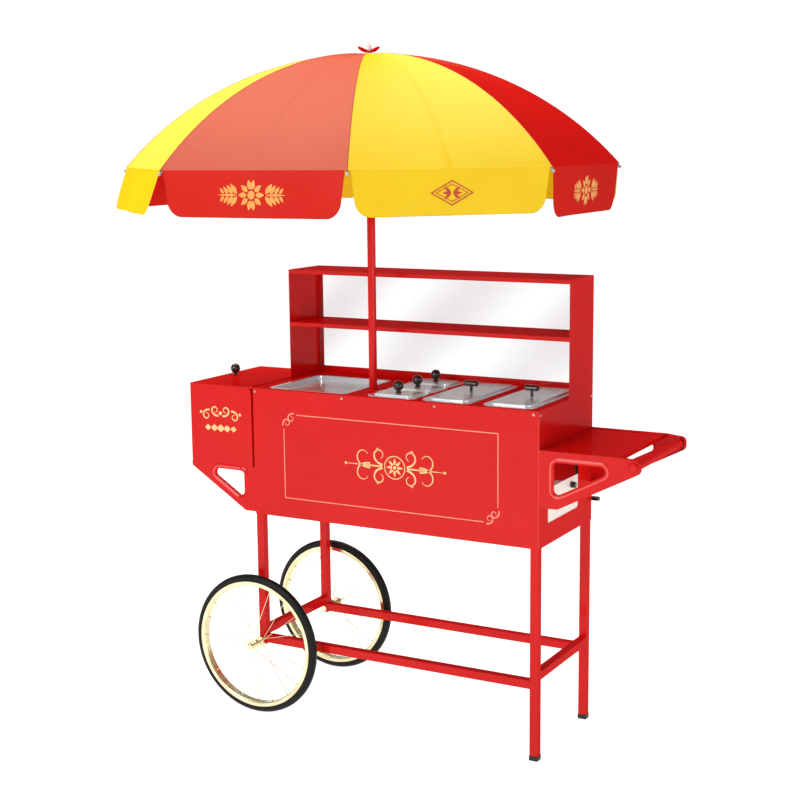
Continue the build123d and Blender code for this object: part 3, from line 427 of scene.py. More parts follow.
    def _paint_sheen(self) -> None:
        """Paint a paler sheen into the colour where the cloth faces the lit side."""
        inputs = {0: add_node(self.tree, "NewGeometry", output="Normal"), 1: SHEEN_FACING}
        cosine = add_node(self.tree, "VectorMath", inputs, "Value", operation="DOT_PRODUCT")
        share = map_range(self.tree, cosine, (0.0, 1.0), SHEEN_COSINES, True)
        self.colour = self.blend(share, self.colour, linear(SHEEN_COLOURS[self.finish.name]))
        self.set(Base_Color=self.colour)

    def _canvas(self) -> None:
        """Plain weave under a thin coating, with soft wrinkles, letting some light through."""
        # The paler colour is painted sheen
        self._paint_sheen()
        inputs = {"Vector": self.place, "Scale": WAVE_LENGTH / self.grain}
        warp, weft = (add_node(self.tree, "TexWave", inputs, "Fac", bands_direction=axis) for axis in "XY")
        weave = add_node(self.tree, "Math", {0: warp, 1: weft}, operation="MULTIPLY")
        folds = self.noise(CREASE_MM * MM, 2.0, noise_type="RIDGED_MULTIFRACTAL")
        creases = self.relief(folds, CREASE_DEPTH_MM * MM)
        wrinkles = self.relief(self.noise(WRINKLE_MM * MM, 2.0), WRINKLE_DEPTH_MM * MM, creases)
        threads = self.relief(weave, self.depth, wrinkles)
        self.set(Normal=threads)
        coat = self.gloss(CANVAS_GLOSS, threads, CANVAS_GLOSS_TINT)
        glow = add_node(self.tree, "BsdfTranslucent", {"Color": self.colour})
        self.show(add_node(self.tree, "MixShader", {0: CANVAS_GLOW, 1: coat, 2: glow}))


@cache
def material_of(finish: Finish) -> bpy.types.Material:
    """The material of a finish, made at the first call."""
    return Surface(finish).material


def turns(count: int) -> list[float]:
    """Angles of even steps round a circle, in radians."""
    return [2 * math.pi * k / count for k in range(count)]


def shares(steps: int) -> list[float]:
    """Even steps along a line, from 0 to 1."""
    return [i / steps for i in range(steps + 1)]


def polar(turn: float, radius: float = 1.0) -> Pair:
    """The point of a circle at an angle in radians."""
    return radius * math.cos(turn), radius * math.sin(turn)


def show_object(name: str, data: bpy.types.ID) -> bpy.types.Object:
    """Put a mesh, a lamp or a camera into the scene.

    Args:
        name: name of the object.
        data: what it shows.

    Returns:
        The new object.
    """
    thing = bpy.data.objects.new(name, data)
    bpy.context.scene.collection.objects.link(thing)
    return thing


@dataclass
class Shape:
    """Points and faces of a piece while it is put together."""

    points: list[Vector] = field(default_factory=list)
    faces: list[list[int]] = field(default_factory=list)

    def face(self, points: Sequence[Vector], flip: bool = False) -> None:
        """Add one flat face.

        Args:
            points: its corners.
            flip: whether it turns the other way.
        """
        corners = list(range(len(self.points), len(self.points) + len(points)))
        self.points.extend(points)
        self.faces.append(corners[::-1] if flip else corners)

    def grid(self, rows: Sequence[Sequence[Vector]], closed: bool = False, flip: bool = False) -> None:
        """Add a surface through rows of points.

        Args:
            rows: rows with the same number of points.
            closed: whether each row ends where it starts.
            flip: whether the faces turn the other way.
        """
        start, width = len(self.points), len(rows[0])
        for row in rows:
            self.points.extend(row)
        for i in range(len(rows) - 1):
            for j in range(width if closed else width - 1):
                a, b = start + i * width + j, start + i * width + (j + 1) % width
                face = [a, b, b + width, a + width]
                self.faces.append(face[::-1] if flip else face)

    def rings(self, rows: Sequence[tuple[Vector, ...]], sides: int, open_foot: bool = False) -> None:
        """Add a round body through rings of points, with closed ends.

        Args:
            rows: middle of each ring, and the two radii that span it.
            sides: points round each ring.
            open_foot: whether the first end is left open.
        """
        start = len(self.points)
        circle = [polar(turn) for turn in turns(sides)]
        self.grid([[o + a * c + b * s for c, s in circle] for o, a, b in rows], closed=True)
        foot = list(range(start, start + sides))
        if not open_foot:
            self.faces.append(foot[::-1])
        self.faces.append([k + (len(rows) - 1) * sides for k in foot])

    def tube(self, path: Sequence[Vector], radius: float, sides: int = 8) -> None:
        """Add a round cord along a path.

        Args:
            path: points along its middle.
            radius: its radius, in metres.
            sides: sides of its section.
        """
        rows = []
        across = Vector((0, 0, 1))
        for i, point in enumerate(path):
            along = (path[min(i + 1, len(path) - 1)] - path[max(i - 1, 0)]).normalized()
            upright = abs(along.dot(across)) > 0.9
            if i == 0 and upright:
                across = Vector((1, 0, 0))
            across = (across - along * across.dot(along)).normalized()
            rows.append((point, across * radius, along.cross(across) * radius))
        self.rings(rows, sides)

    def dome(self, foot: Vector, out: Vector, radius: float, height: float, sides: int = 16) -> None:
        """Add a rounded rivet head.

        Args:
            foot: middle of its foot.
            out: direction that it stands out in.
            radius, height: its size, in metres.
            sides: points round it.
        """
        across = out.orthogonal().normalized()
        other = out.cross(across)
        rows = []
        for level in (0.0, 0.45, 0.8, 0.96):
            reach = radius * math.sqrt(1 - level**2)
            rows.append((foot + out * height * level, across * reach, other * reach))
        self.rings(rows, sides, open_foot=True)

    def piece(self, name: str, finish: Finish, smooth: bool = True) -> bpy.types.Object:
        """Make the object.

        Args:
            name: name of the piece.
            finish: finish of every face.
            smooth: whether its faces are shaded as one curved surface.

        Returns:
            The new object.
        """
        mesh = bpy.data.meshes.new(name)
        mesh.from_pydata([tuple(point) for point in self.points], [], self.faces)
        mesh.materials.append(material_of(finish))
        mesh.polygons.foreach_set("use_smooth", [smooth] * len(mesh.polygons))
        mesh.update()
        LOG.info("%s of %d faces", name, len(self.faces))
        return show_object(name, mesh)


@dataclass
class Arc:
    """The circle through three points of an upright plane, each given as its radius and height."""

    points: Sequence[Pair]

    def __post_init__(self) -> None:
        """Work out the circle."""
        (px, pz), (qx, qz), (rx, rz) = self.points
        ax, az, bx, bz = qx - px, qz - pz, rx - px, rz - pz
        d = 2 * (ax * bz - az * bx)
        u = (bz * (ax**2 + az**2) - az * (bx**2 + bz**2)) / d
        v = (ax * (bx**2 + bz**2) - bx * (ax**2 + az**2)) / d
        self.centre = (px + u, pz + v)
        self.radius = math.hypot(u, v)
        self.first = math.atan2(px - self.centre[0], pz - self.centre[1])
        self.last = math.atan2(rx - self.centre[0], rz - self.centre[1])
        self.length = self.radius * abs(self.last - self.first)

    def slope(self, share: float) -> float:
        """Its angle below level, at a share of its length."""
        return self.first + (self.last - self.first) * share

    def at(self, share: float) -> Pair:
        """Its radius and height, at a share of its length."""
        rise, reach = polar(self.slope(share), self.radius)
        return self.centre[0] + reach, self.centre[1] + rise


class Side(Enum):
    """The side of a rib that a half panel of cloth lies on, seen from outside with +Z up."""

    LEFT = -1
    RIGHT = 1


@dataclass
class Canopy:
    """The umbrella's cloth: half a panel and half a flap on each side of every rib."""

    pole: Vector  # foot of the upright line through the pole
    rib_turns: list[float]  # about the pole, in radians
    top: float
    # Radius and height of three points of the cloth over a rib, from the crown
    line_mm: tuple[Pair, Pair, Pair] = ((15, 0), (400, -79), (754, -333))
    sag: float = 9 * MM  # dip between two ribs
    flap_drop: float = 122 * MM
    flap_gap: float = 8 * MM  # between a flap's top and the rib
    flap_taper: float = 18 * MM  # how much wider that is at its foot
    flap_inset: float = 1 * MM  # inside the rim
    flap_corner: float = 38 * MM
    # How far a flap's foot stands out and how many times as long it hangs, by panel
    flap_flare: dict[int, float] = field(default_factory=lambda: {0: 42 * MM, 3: -8 * MM})
    flap_stretch: dict[int, float] = field(default_factory=lambda: {1: 1.03, 3: 1.12})
    flap_stray: float = 2 * MM  # most that the other flaps stand out
    flap_stray_shift: float = 2.3  # from panel to panel
    flap_wave: float = 2.5 * MM
    # Share of the depth, radians in a metre and shift from panel to panel of each wave
    flap_waves: tuple[Triple, Triple] = ((1.0, 17, 1.9), (0.5, 31, 0.7))
    # Width of the hem that slips under the next half, and its most as a share of the radius
    underlap: Pair = (12 * MM, 0.25)
    underlap_taper: float = 0.7  # share of its width lost at the rim
    underlap_drop: float = 1 * MM  # below the cloth that covers it
    seam_start: float = 0.04  # share of the way from crown to rim
    cord: float = 0.8 * MM  # radius of hems and seams
    ink: float = 0.6 * MM  # height of a print above the cloth
    print_level: float = 0.52  # middle of a print, as a share of the flap's drop
    bare: tuple[int, ...] = (0, 4)  # panels with no print
    fold_keep: float = 0.885  # share of a half panel's width left when the umbrella is folded in its socket
    steps_down: int = 28
    steps_across: int = 12

    def __post_init__(self) -> None:
        """Work out the cloth's curve over a rib, the half angle of a panel and the size of the rim."""
        self.line = Arc([(radius * MM, self.top + rise * MM) for radius, rise in self.line_mm])
        self.half = math.pi / len(self.rib_turns)
        radius, self.rim_height = self.line.at(1.0)
        self.rim_apothem, self.rim_half = polar(self.half, radius)
        self.corner_top = self.flap_drop - self.flap_corner
        self.print_middle = self.print_level * self.flap_drop

    def flap_half(self, down: float) -> float:
        """Half the width of a flap at a height, less where its lower corner is rounded.

        Args:
            down: distance below the rim.

        Returns:
            Half the width.
        """
        into = max(0.0, down - self.corner_top)
        edge = self.rim_half - self.flap_gap - self.flap_taper * down / self.flap_drop
        return edge - self.flap_corner + math.sqrt(max(0.0, self.flap_corner**2 - into**2))

    def corner_downs(self, steps: int) -> list[float]:
        """Distances below the rim of even turns round a flap's lower corner."""
        bends = (math.sin(math.pi / 2 * share) for share in shares(steps))
        return [self.corner_top + self.flap_corner * bend for bend in bends]

    def build(self) -> None:
        """Make every half panel."""
        for rib in range(len(self.rib_turns)):
            for side in Side:
                HalfPanel(self, rib, side).build()


@dataclass
class HalfPanel:
    """Half a panel with half a flap, its hem and its print, on one side of a rib. Ribs count from 0."""

    canopy: Canopy
    rib: int
    side: Side

    def __post_init__(self) -> None:
        """Work out its panel, the one after rib 0 being 0, and its directions, with no ink laid yet."""
        canopy, before = self.canopy, 0 if self.side is Side.RIGHT else 1
        self.panel = (self.rib - before) % len(canopy.rib_turns)
        self.yellow = self.panel % 2 == 0
        self.turn = canopy.rib_turns[self.rib]
        middle = self.turn + self.side.value * canopy.half
        self.outward = Vector((*polar(middle), 0))
        self.sideways = Vector((-math.sin(middle), math.cos(middle), 0))
        self.ink = Shape()

    def spread(self, share: float, across: float) -> Vector:
        """A point of the half panel.

        Args:
            share: 0 at the crown and 1 at the rim.
            across: 0 on the rib and 1 on the panel's middle.

        Returns:
            The point.
        """
        canopy = self.canopy
        radius, height = canopy.line.at(share)
        on_rib = Vector((*polar(self.turn, radius), 0))
        on_middle = self.outward * radius * math.cos(canopy.half)
        rise, lean = polar(canopy.line.slope(share))
        out = self.outward * lean + Vector((0, 0, rise))
        depth = math.sin(math.pi * min(share, 0.999)) ** 0.8 * (1 - (1 - across) ** 2)
        flat = on_rib.lerp(on_middle, across) + Vector((0, 0, height))
        return canopy.pole + flat - out * canopy.sag * depth

    def flap_point(self, along: float, down: float, proud: float = 0.0) -> Vector:
        """A point of the flap. Its waves differ from panel to panel.

        Args:
            along: distance from the flap's middle towards the rib.
            down: distance below the rim.
            proud: height above the cloth.

        Returns:
            The point.
        """
        canopy, panel = self.canopy, self.panel
        place = -self.side.value * along
        low = down / canopy.flap_drop
        wave = sum(share * math.sin(place * k + panel * shift) for share, k, shift in canopy.flap_waves)
        stray = canopy.flap_stray * math.sin(panel * canopy.flap_stray_shift)
        flare = canopy.flap_flare.get(panel, stray)
        lean = canopy.flap_wave * wave * low**1.5 + flare * low
        height = canopy.rim_height - down * canopy.flap_stretch.get(panel, 1.0)
        reach = canopy.rim_apothem - canopy.flap_inset + lean + proud
        return canopy.pole + self.outward * reach + self.sideways * place + Vector((0, 0, height))

    def under_point(self, share: float) -> Vector:
        """The edge of the hem that slips under the next half of the panel.

        Args:
            share: 0 at the crown and 1 at the rim.

        Returns:
            The point, below the cloth that covers it.
        """
        canopy, radius = self.canopy, self.canopy.line.at(share)[0]
        widest, most = canopy.underlap
        width = min(widest, most * radius) * (1 - canopy.underlap_taper * share**3)
        over = self.sideways * self.side.value * width
        return self.spread(share, 1.0) + over - Vector((0, 0, canopy.underlap_drop))

    def cloth(self) -> Shape:
        """The half panel with its half flap.

        Returns:
            Its surface.
        """
        canopy, shape = self.canopy, Shape()
        steps = shares(canopy.steps_across)
        rows = []
        for share in shares(canopy.steps_down):
            row = [self.spread(share, across) for across in steps]
            if self.side is Side.RIGHT:
                row.append(self.under_point(share))
            rows.append(row)
        shape.grid(rows, flip=self.side is Side.RIGHT)
        downs = [canopy.flap_drop * share for share in shares(8)[:6]] + canopy.corner_downs(7)
        flap = [[self.flap_point(canopy.flap_half(d) * s, d) for s in steps] for d in downs]
        shape.grid(flap, flip=self.side is Side.LEFT)
        return shape

    def hem(self) -> Shape:
        """The rolled hem round the half flap. A red half has the seam over the rib as well.

        Returns:
            Its rolls.
        """
        canopy, shape = self.canopy, Shape()
        downs = [1 * MM, canopy.corner_top / 2] + canopy.corner_downs(8)
        path = [self.flap_point(canopy.flap_half(down), down) for down in downs]
        reach = canopy.flap_half(canopy.flap_drop)
        foot = [reach * (1 - share) for share in shares(canopy.steps_across)[1:]]
        path += [self.flap_point(along, canopy.flap_drop) for along in foot]
        shape.tube(path, canopy.cord)
        if not self.yellow:
            start = canopy.seam_start
            seam = [start + (1 - start) * share for share in shares(canopy.steps_down)]
            shape.tube([self.spread(share, 0.0) for share in seam], canopy.cord)
        return shape

    def patch(self, outline_mm: Sequence[Pair]) -> None:
        """Print one patch.

        Args:
            outline_mm: its outline, towards the rib and up from the print's middle.
        """
        middle, proud = self.canopy.print_middle, self.canopy.ink
        points = [self.flap_point(u * MM, middle - v * MM, proud) for u, v in outline_mm]
        self.ink.face(points, flip=self.side is Side.RIGHT)

    def leaf(self, foot_mm: Pair, turn: float, length: float, width: float) -> None:
        """Print one leaf on the flap.

        Args:
            foot_mm: its foot, towards the rib and up from the print's middle.
            turn: its direction, in degrees.
            length, width: its size, in millimetres.
        """
        edge = [(length * s, width / 2 * math.sin(math.pi * s**0.8)) for s in shares(8)]
        edge += [(x, -y) for x, y in edge[-2:0:-1]]
        (u, v), (c, s) = foot_mm, polar(math.radians(turn))
        self.patch([(u + x * c - y * s, v + x * s + y * c) for x, y in edge])

    def lozenge(self) -> None:
        """Print half of two outlined lozenges round a star of leaves."""
        for reach, rise, line in ((62, 34, 4), (47, 24, 2.5)):
            inner_reach, inner_rise = reach - 1.7 * line, rise - line
            for up in (1, -1):
                ends = [(0.0, up * rise), (0.0, up * inner_rise), (inner_reach, 0.0), (reach, 0.0)]
                self.patch(ends[::up])
        for turn in (40, 0, -40):
            self.leaf((3, 0), turn, 26, 8)

    def rosette(self) -> None:
        """Print half of a rosette between two sprays of leaves."""
        heart, petal_foot, spray_foot, spray_lean = 11, 14, 44, 52
        self.patch([polar(math.pi * (share - 0.5), heart) for share in shares(12)])
        for turn in (78, 39, 0, -39, -78):
            self.leaf(polar(math.radians(turn), petal_foot), turn, 26, 14)
        for k in range(4):
            for up in (1, -1):
                foot = (spray_foot + 14 * k, up * 3)
                self.leaf(foot, up * spray_lean, 34 - 5 * k, 13 - 1.5 * k)
        self.leaf((spray_foot, 0), 0, 62, 6)

    def build(self) -> None:
        """Make the cloth, its hem and its print."""
        canopy, number = self.canopy, self.rib + 1
        label = f"{number}_{self.side.name.lower()}"
        colour = "yellow" if self.yellow else "red"
        slot = f"{colour}_cloth"
        cloth = self.cloth().piece(f"canopy_half_{label}", SLOT_FINISHES[slot])
        hem = self.hem().piece(f"canopy_hem_{label}", SLOT_FINISHES[slot])
        pieces = [cloth, hem]
        if self.panel not in canopy.bare:
            draw, finish = (self.lozenge, RED_INK) if self.yellow else (self.rosette, GOLD_INK)
            draw()
            pieces.append(self.ink.piece(f"canopy_print_{label}", finish, smooth=False))
        for piece in pieces:
            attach(piece, f"rib_arm_{number}")
            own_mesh(piece)
        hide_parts(f"canopy_{colour}")


@dataclass
class Topknot:
    """The nylon knob on top of the umbrella and the collar of cloth points round it."""

    pole: Vector  # foot of the upright line through the pole
    canopy_top: float
    top: float
    reach: float  # radius of the collar
    rise: float = 16 * MM  # of its points
    step: float = 2 * MM  # from the canopy's top to the knob's foot
    gap: float = 1.5 * MM  # from there to the collar
    count: int = 4
    start: float = math.radians(345)
    # Radius and height of the knob's outline, as shares of its height
    outline: tuple[Pair, ...] = (
        (0.02, 0.0), (0.3, 0.0), (0.32, 0.1), (0.29, 0.26), (0.25, 0.42), (0.2, 0.58), (0.15, 0.74),
        (0.1, 0.88), (0.05, 0.97), (0.01, 1.0),
    )
    # Rings of the collar, as shares of its reach
    levels: tuple[float, ...] = (0.28, 0.45, 0.62, 0.78, 0.9, 1.0)

    def build(self) -> None:
        """Make the knob and the collar."""
        level = self.canopy_top + self.step
        foot, height = self.pole + Vector((0, 0, level)), self.top - level
        knob, collar = Shape(), Shape()
        rows = []
        for reach, rise in self.outline:
            ring = (polar(turn, reach * height) for turn in turns(48))
            rows.append([foot + Vector((x, y, rise * height)) for x, y in ring])
        knob.grid(rows, closed=True)
        rows = []
        for level in self.levels:
            row = []
            for turn in turns(96):
                tip = abs(math.cos((turn - self.start) * self.count / 2)) ** 3
                radius = self.reach * level * (1 - 0.6 * (1 - tip) * level)
                lift = self.gap + self.rise * level**2.5 * (0.3 + 0.7 * tip)
                row.append(foot + Vector((*polar(turn, radius), lift)))
            rows.append(row)
        collar.grid(rows, closed=True)
        tip = knob.piece("finial_knob", PALE_PLASTIC)
        cloth = collar.piece("finial_collar", RED_CLOTH)
        for piece, slot in ((tip, "pale_plastic"), (cloth, "red_cloth")):
            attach(piece, "umbrella")
            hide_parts("finial")


@dataclass
class Striping:
    """Pinstripe border and gold ornaments on the front."""

    panel: tuple[Vector, Vector]  # lower and upper corner of its box
    side_margins: Pair = (115 * MM, 130 * MM)  # left and right
    level_margins: Pair = (64 * MM, 75.5 * MM)  # below and above
    film: float = 0.15 * MM
    line: float = 2.8 * MM
    corner: float = 47 * MM  # side of the square that a scrolled corner takes
    ornament_shift: float = 26 * MM  # right of the border's middle
    ornament_half: float = 175 * MM
    cooler_place: Pair = (118 * MM, 96 * MM)  # from the cooler's left edge, and down from its top

    def __post_init__(self) -> None:
        """Place the border, with no paint laid yet."""
        low, high = self.panel
        self.depth = low.y - self.film
        self.left, self.right = low.x + self.side_margins[0], high.x - self.side_margins[1]
        self.low, self.high = low.z + self.level_margins[0], high.z - self.level_margins[1]
        self.paint = Shape()

    def stroke(self, path: Sequence[Pair], width: float, taper: bool = False) -> None:
        """Lay one brush stroke.

        Args:
            path: points of its middle, across and up the panel.
            width: its width.
            taper: whether it thins out to a quarter towards its end.
        """
        edges: list[list[Vector]] = [[], []]
        last = len(path) - 1
        for i, (x, z) in enumerate(path):
            (ax, az), (bx, bz) = path[max(i - 1, 0)], path[min(i + 1, last)]
            length = math.hypot(bx - ax, bz - az)
            nx, nz = -(bz - az) / length, (bx - ax) / length
            half = width / 2 * (1 - 0.75 * (i / last) ** 2 if taper else 1)
            for edge, reach in zip(edges, (half, -half)):
                edge.append(Vector((x + nx * reach, self.depth, z + nz * reach)))
        self.paint.grid(edges)

    def dot(self, x: float, z: float, radius: float) -> None:
        """Lay a round dot at a place across and up the panel."""
        ring = (polar(turn, radius) for turn in turns(16))
        self.paint.face([Vector((x + across, self.depth, z + up)) for across, up in ring])

    def scroll(self, x: float, z: float, heading: float, bend: float, length: float, width: float) -> None:
        """Lay a stroke that winds tighter and thins out towards its end.

        Args:
            x, z: its start, across and up the panel.
            heading: direction at the start, in degrees from +X.
            bend: degrees that it winds to the left in all.
            length: length along it.
            width: width at its start.
        """
        steps = 40
        path = [(x, z)]
        for i in range(steps):
            angle = math.radians(heading + bend * ((i + 0.5) / steps) ** 1.6)
            across, up = polar(angle, length / steps)
            x, z = x + across, z + up
            path.append((x, z))
        self.stroke(path, width, taper=True)

    def border(self) -> None:
        """Lay the border: two plain corners, and two with a pair of loose scrolls."""
        corner, half = self.corner, self.line / 2
        sides = (
            [(self.left + corner, self.high), (self.right - half, self.high)],
            [(self.right, self.high + half), (self.right, self.low + corner)],
            [(self.right - corner, self.low), (self.left + half, self.low)],
            [(self.left, self.low - half), (self.left, self.high - corner)],
        )
        for path in sides:
            self.stroke(path, self.line)
        bend, length, width = 380, 1.5 * corner, 1.6 * self.line
        for x, z, way in ((self.left, self.high, 1), (self.right, self.low, -1)):
            level, upright = (180, 90) if way > 0 else (0, -90)
            near, far = 0.08 * corner * way, 0.8 * corner * way
            self.scroll(x + far, z + near, level, bend, length, width)
            self.scroll(x - near, z - far, upright, -bend, length, width)

    def ornament(self, x: float, z: float, half: float) -> None:
        """Lay an ornament: a rosette in a ring, with leaf scrolls to both sides.

        Args:
            x, z: its middle, across and up the panel.
            half: half its width.
        """

        def spot(turn: float, radius: float) -> Pair:
            """A point round the rosette's middle."""
            across, up = polar(turn, radius)
            return x + across, z + up

        ring = 0.2 * half
        petal_foot, petal_tip = 0.28 * ring, 0.8 * ring
        petal = (petal_foot, (petal_foot + petal_tip) / 2, petal_tip)
        self.stroke([spot(2 * math.pi * share, ring) for share in shares(48)], 3 * MM)
        for turn in turns(8):
            self.stroke([spot(turn, radius) for radius in petal], 9 * MM, taper=True)
        self.dot(x, z, 0.16 * ring)
        for side, level in ((1, 0), (-1, 180)):
            root = x + side * (ring + 7 * MM)
            branch, berry = root + side * 0.25 * half, root + side * 0.1 * half
            for up in (1, -1):
                way = side * up
                heading, length = level + way * 14, 0.62 * half
                self.scroll(root, z + up * 5 * MM, heading, way * 330, length, 6 * MM)
                self.scroll(branch, z + up * 7 * MM, level, way * -250, 0.66 * half, 5 * MM)
                self.dot(berry, z + up * 0.3 * half, 4 * MM)
            stem = [(x + side * (ring + 8 * MM + share * 0.72 * half), z) for share in shares(2)]
            self.stroke(stem, 5 * MM, taper=True)
            self.dot(x + side * 0.98 * half, z, 4.5 * MM)

    def rows(self, x: float, z: float) -> None:
        """Lay a row of small scrolls over a row of lozenges.

        Args:
            x, z: middle of the upper row, across and up the cooler.
        """
        for side, level in ((1, 0), (-1, 180)):
            for step, up in ((8 * MM, 1), (42 * MM, -1)):
                start, foot = x + side * step, z - up * 9 * MM
                self.scroll(start, foot, level, side * up * 380, 82 * MM, 6 * MM)
            self.dot(x + side * 76 * MM, z, 5 * MM)
        self.dot(x, z, 6 * MM)
        spacing, height = 25 * MM, z - 49 * MM
        for k in range(-2, 3):
            middle, reach = x + k * spacing, (13 - 1.5 * abs(k)) * MM
            for end in (middle - reach, middle + reach):
                self.stroke([(middle, height), (end, height)], 2 * reach, taper=True)

    def lift(self, name: str, finish: Finish) -> None:
        """Make a piece of the paint laid so far."""
        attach(self.paint.piece(name, finish, smooth=False), "cart")
        self.paint = Shape()

    def build(self) -> None:
        """Make the border and both ornaments."""
        self.border()
        self.lift("front_border", BORDER_STRIPE)
        middle = (self.left + self.right) / 2 + self.ornament_shift
        self.ornament(middle, (self.low + self.high) / 2, self.ornament_half)
        self.lift("front_ornament", GOLD_STRIPE)
        low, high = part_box("cooler_box")
        across, down = self.cooler_place
        self.rows(low.x + across, high.z - down)
        self.lift("cooler_ornament", GOLD_STRIPE)


@dataclass
class PaintedEdgeHighlights:
    """Painted highlights: a lighter red film on the front's right corner and on the beads round the front
    brackets' holes.
    """

    low: Vector  # corners of the front panel's box
    high: Vector
    rounding: float = 14 * MM
    crest: float = 8.5 * MM  # of a bead, from the hole's edge
    # Distance from the crest and height of each line along a bead
    section_mm: tuple[Pair, ...] = ((-3, 1.34), (-1.06, 2.2), (1.06, 2.2), (3, 1.34))
    film: float = 0.12 * MM
    strip: Pair = (1.3 * MM, 4 * MM)  # width on the corner, and gap at its ends
    # Corners of a bracket's hole, from the panel's upper corner beside it
    shelf_hole_mm: tuple[Pair, ...] = ((44, -145), (44, -248.7), (245.7, -145))
    cooler_hole_mm: tuple[Pair, ...] = ((-42, -273.5), (-186.7, -273.5), (-42, -365.1))

    def ring(self, corners: Sequence[Pair], margin: float) -> list[Pair]:
        """The outline of a rounded triangular hole, grown by a margin.

        Args:
            corners: the hole's sharp corners, turning left.
            margin: how far the outline lies outside the hole.

        Returns:
            Points of the outline, 13 for each corner and the first one again at its end.
        """
        points = []
        for k, corner in enumerate(corners):
            before, after = corners[k - 1], corners[(k + 1) % len(corners)]
            start = math.atan2(corner[1] - before[1], corner[0] - before[0]) - math.pi / 2
            end = math.atan2(after[1] - corner[1], after[0] - corner[0]) - math.pi / 2
            bend = (end - start) % (2 * math.pi)
            x, z = polar(start + bend / 2, -self.rounding / math.cos(bend / 2))
            for share in shares(12):
                across, up = polar(start + bend * share, self.rounding + margin)
                points.append((corner[0] + x + across, corner[1] + z + up))
        return points + points[:1]

    def build(self) -> None:
        """Make the film of painted highlight."""
        shape = Shape()
        left, right, top = self.low.x, self.high.x, self.high.z
        # The shelf bracket's bead gets painted highlight all round, the cooler bracket's only along its upper
        # and slanting sides
        whole, upper_and_slanting = slice(None), slice(12, 27)
        for side, hole, lit in (
            (right, self.shelf_hole_mm, whole),
            (left, self.cooler_hole_mm, upper_and_slanting),
        ):
            corners = [(side + across * MM, top + up * MM) for across, up in hole]
            rows = []
            for step, rise in self.section_mm:
                depth = self.low.y - rise * MM - self.film
                outline = self.ring(corners, self.crest + step * MM)[lit]
                rows.append([Vector((x, depth, z)) for x, z in outline])
            shape.grid(rows)
        # A thin strip of painted highlight runs down the front's right corner
        (width, inset), depth = self.strip, self.low.y - self.film
        ends = (self.low.z + inset, top - inset)
        shape.grid([[Vector((x, depth, z)) for z in ends] for x in (right, right - width)])
        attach(shape.piece("painted_edge_highlights", PAINTED_EDGE_HIGHLIGHT, smooth=False), "cart")


@dataclass
class Fittings:
    """Small pieces that the CAD model leaves out: rivets and spoke nipples."""

    rivet: Pair = (4.2 * MM, 1.8 * MM)  # radius and height
    spokes: int = 20
    splay: float = 2.5 * MM  # to both sides of the wheel's middle plane in turn
    splay_growth: float = 1.2  # at a nipple's inner end
    rim_depth: float = 14 * MM  # from the wheel's edge to the rim's inner face
    nipple_radius: float = 1.8 * MM
    nipple_length: float = 8 * MM
    nipple_sunk: float = 1 * MM

    def rivets(self) -> None:
        """Rivets along the top of the front and on the right end."""
        low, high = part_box("front_panel")
        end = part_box("end_panels")[1]
        shape = Shape()
        left, right, inset = 7 * MM, 18 * MM, 11 * MM
        front_height, end_height = high.z - 11.5 * MM, high.z - 14.5 * MM
        for share in shares(3):
            x = low.x + left + share * (high.x - low.x - left - right)
            shape.dome(Vector((x, low.y, front_height)), Vector((0, -1, 0)), *self.rivet)
        for y in (low.y + inset, end.y - inset):
            shape.dome(Vector((end.x, y, end_height)), Vector((1, 0, 0)), *self.rivet)
        piece = shape.piece("body_rivets", ROD_STEEL)
        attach(piece, "cart")

    def nipples(self, side: str) -> None:
        """Spoke nipples inside one wheel's rim.

        Args:
            side: front or rear.
        """
        low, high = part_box(f"wire_wheel_{side}")
        centre = (low + high) / 2
        rim = (high.x - low.x) / 2 - self.rim_depth
        inner, outer = rim - self.nipple_length, rim + self.nipple_sunk
        shape = Shape()
        for k, turn in enumerate(turns(self.spokes)):
            x, z = polar(turn)
            out = Vector((x, 0, z))
            lean = Vector((0, self.splay if k % 2 else -self.splay, 0))
            path = [centre + lean * self.splay_growth + out * inner, centre + lean + out * outer]
            shape.tube(path, self.nipple_radius)
        piece = shape.piece(f"spoke_nipples_{side}", BRASS)
        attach(piece, f"wheel_{side}")

    def build(self) -> None:
        """Make every fitting."""
        self.rivets()
        for side in ("front", "rear"):
            self.nipples(side)


@dataclass
class Dressing:
    """Finishes and softened edges for the CAD nodes."""

    frame: dict
    # Width of the softened edges by slot, and least bend of an edge that is softened
    edge: dict[str, float] = field(default_factory=lambda: {"red_enamel": 0.7 * MM, "stainless": 0.4 * MM})
    sharp: float = math.radians(50)
    weld: float = 0.01 * MM

    def build(self) -> None:
        """Give each node the finish of its slot."""
        for part in self.frame["record"]["subparts"]:
            node = self.frame["nodes"][part["node"]]
            slot = part["material_slot"]
            node.data.materials.clear()
            node.data.materials.append(material_of(SLOT_FINISHES[slot]))
            if slot in self.edge:
                node.modifiers.new("weld", "WELD").merge_threshold = self.weld
                soften = node.modifiers.new("soften", "BEVEL")
                soften.width = self.edge[slot]
                soften.segments = 2
                soften.limit_method = "ANGLE"
                soften.angle_limit = self.sharp
                soften.harden_normals = True


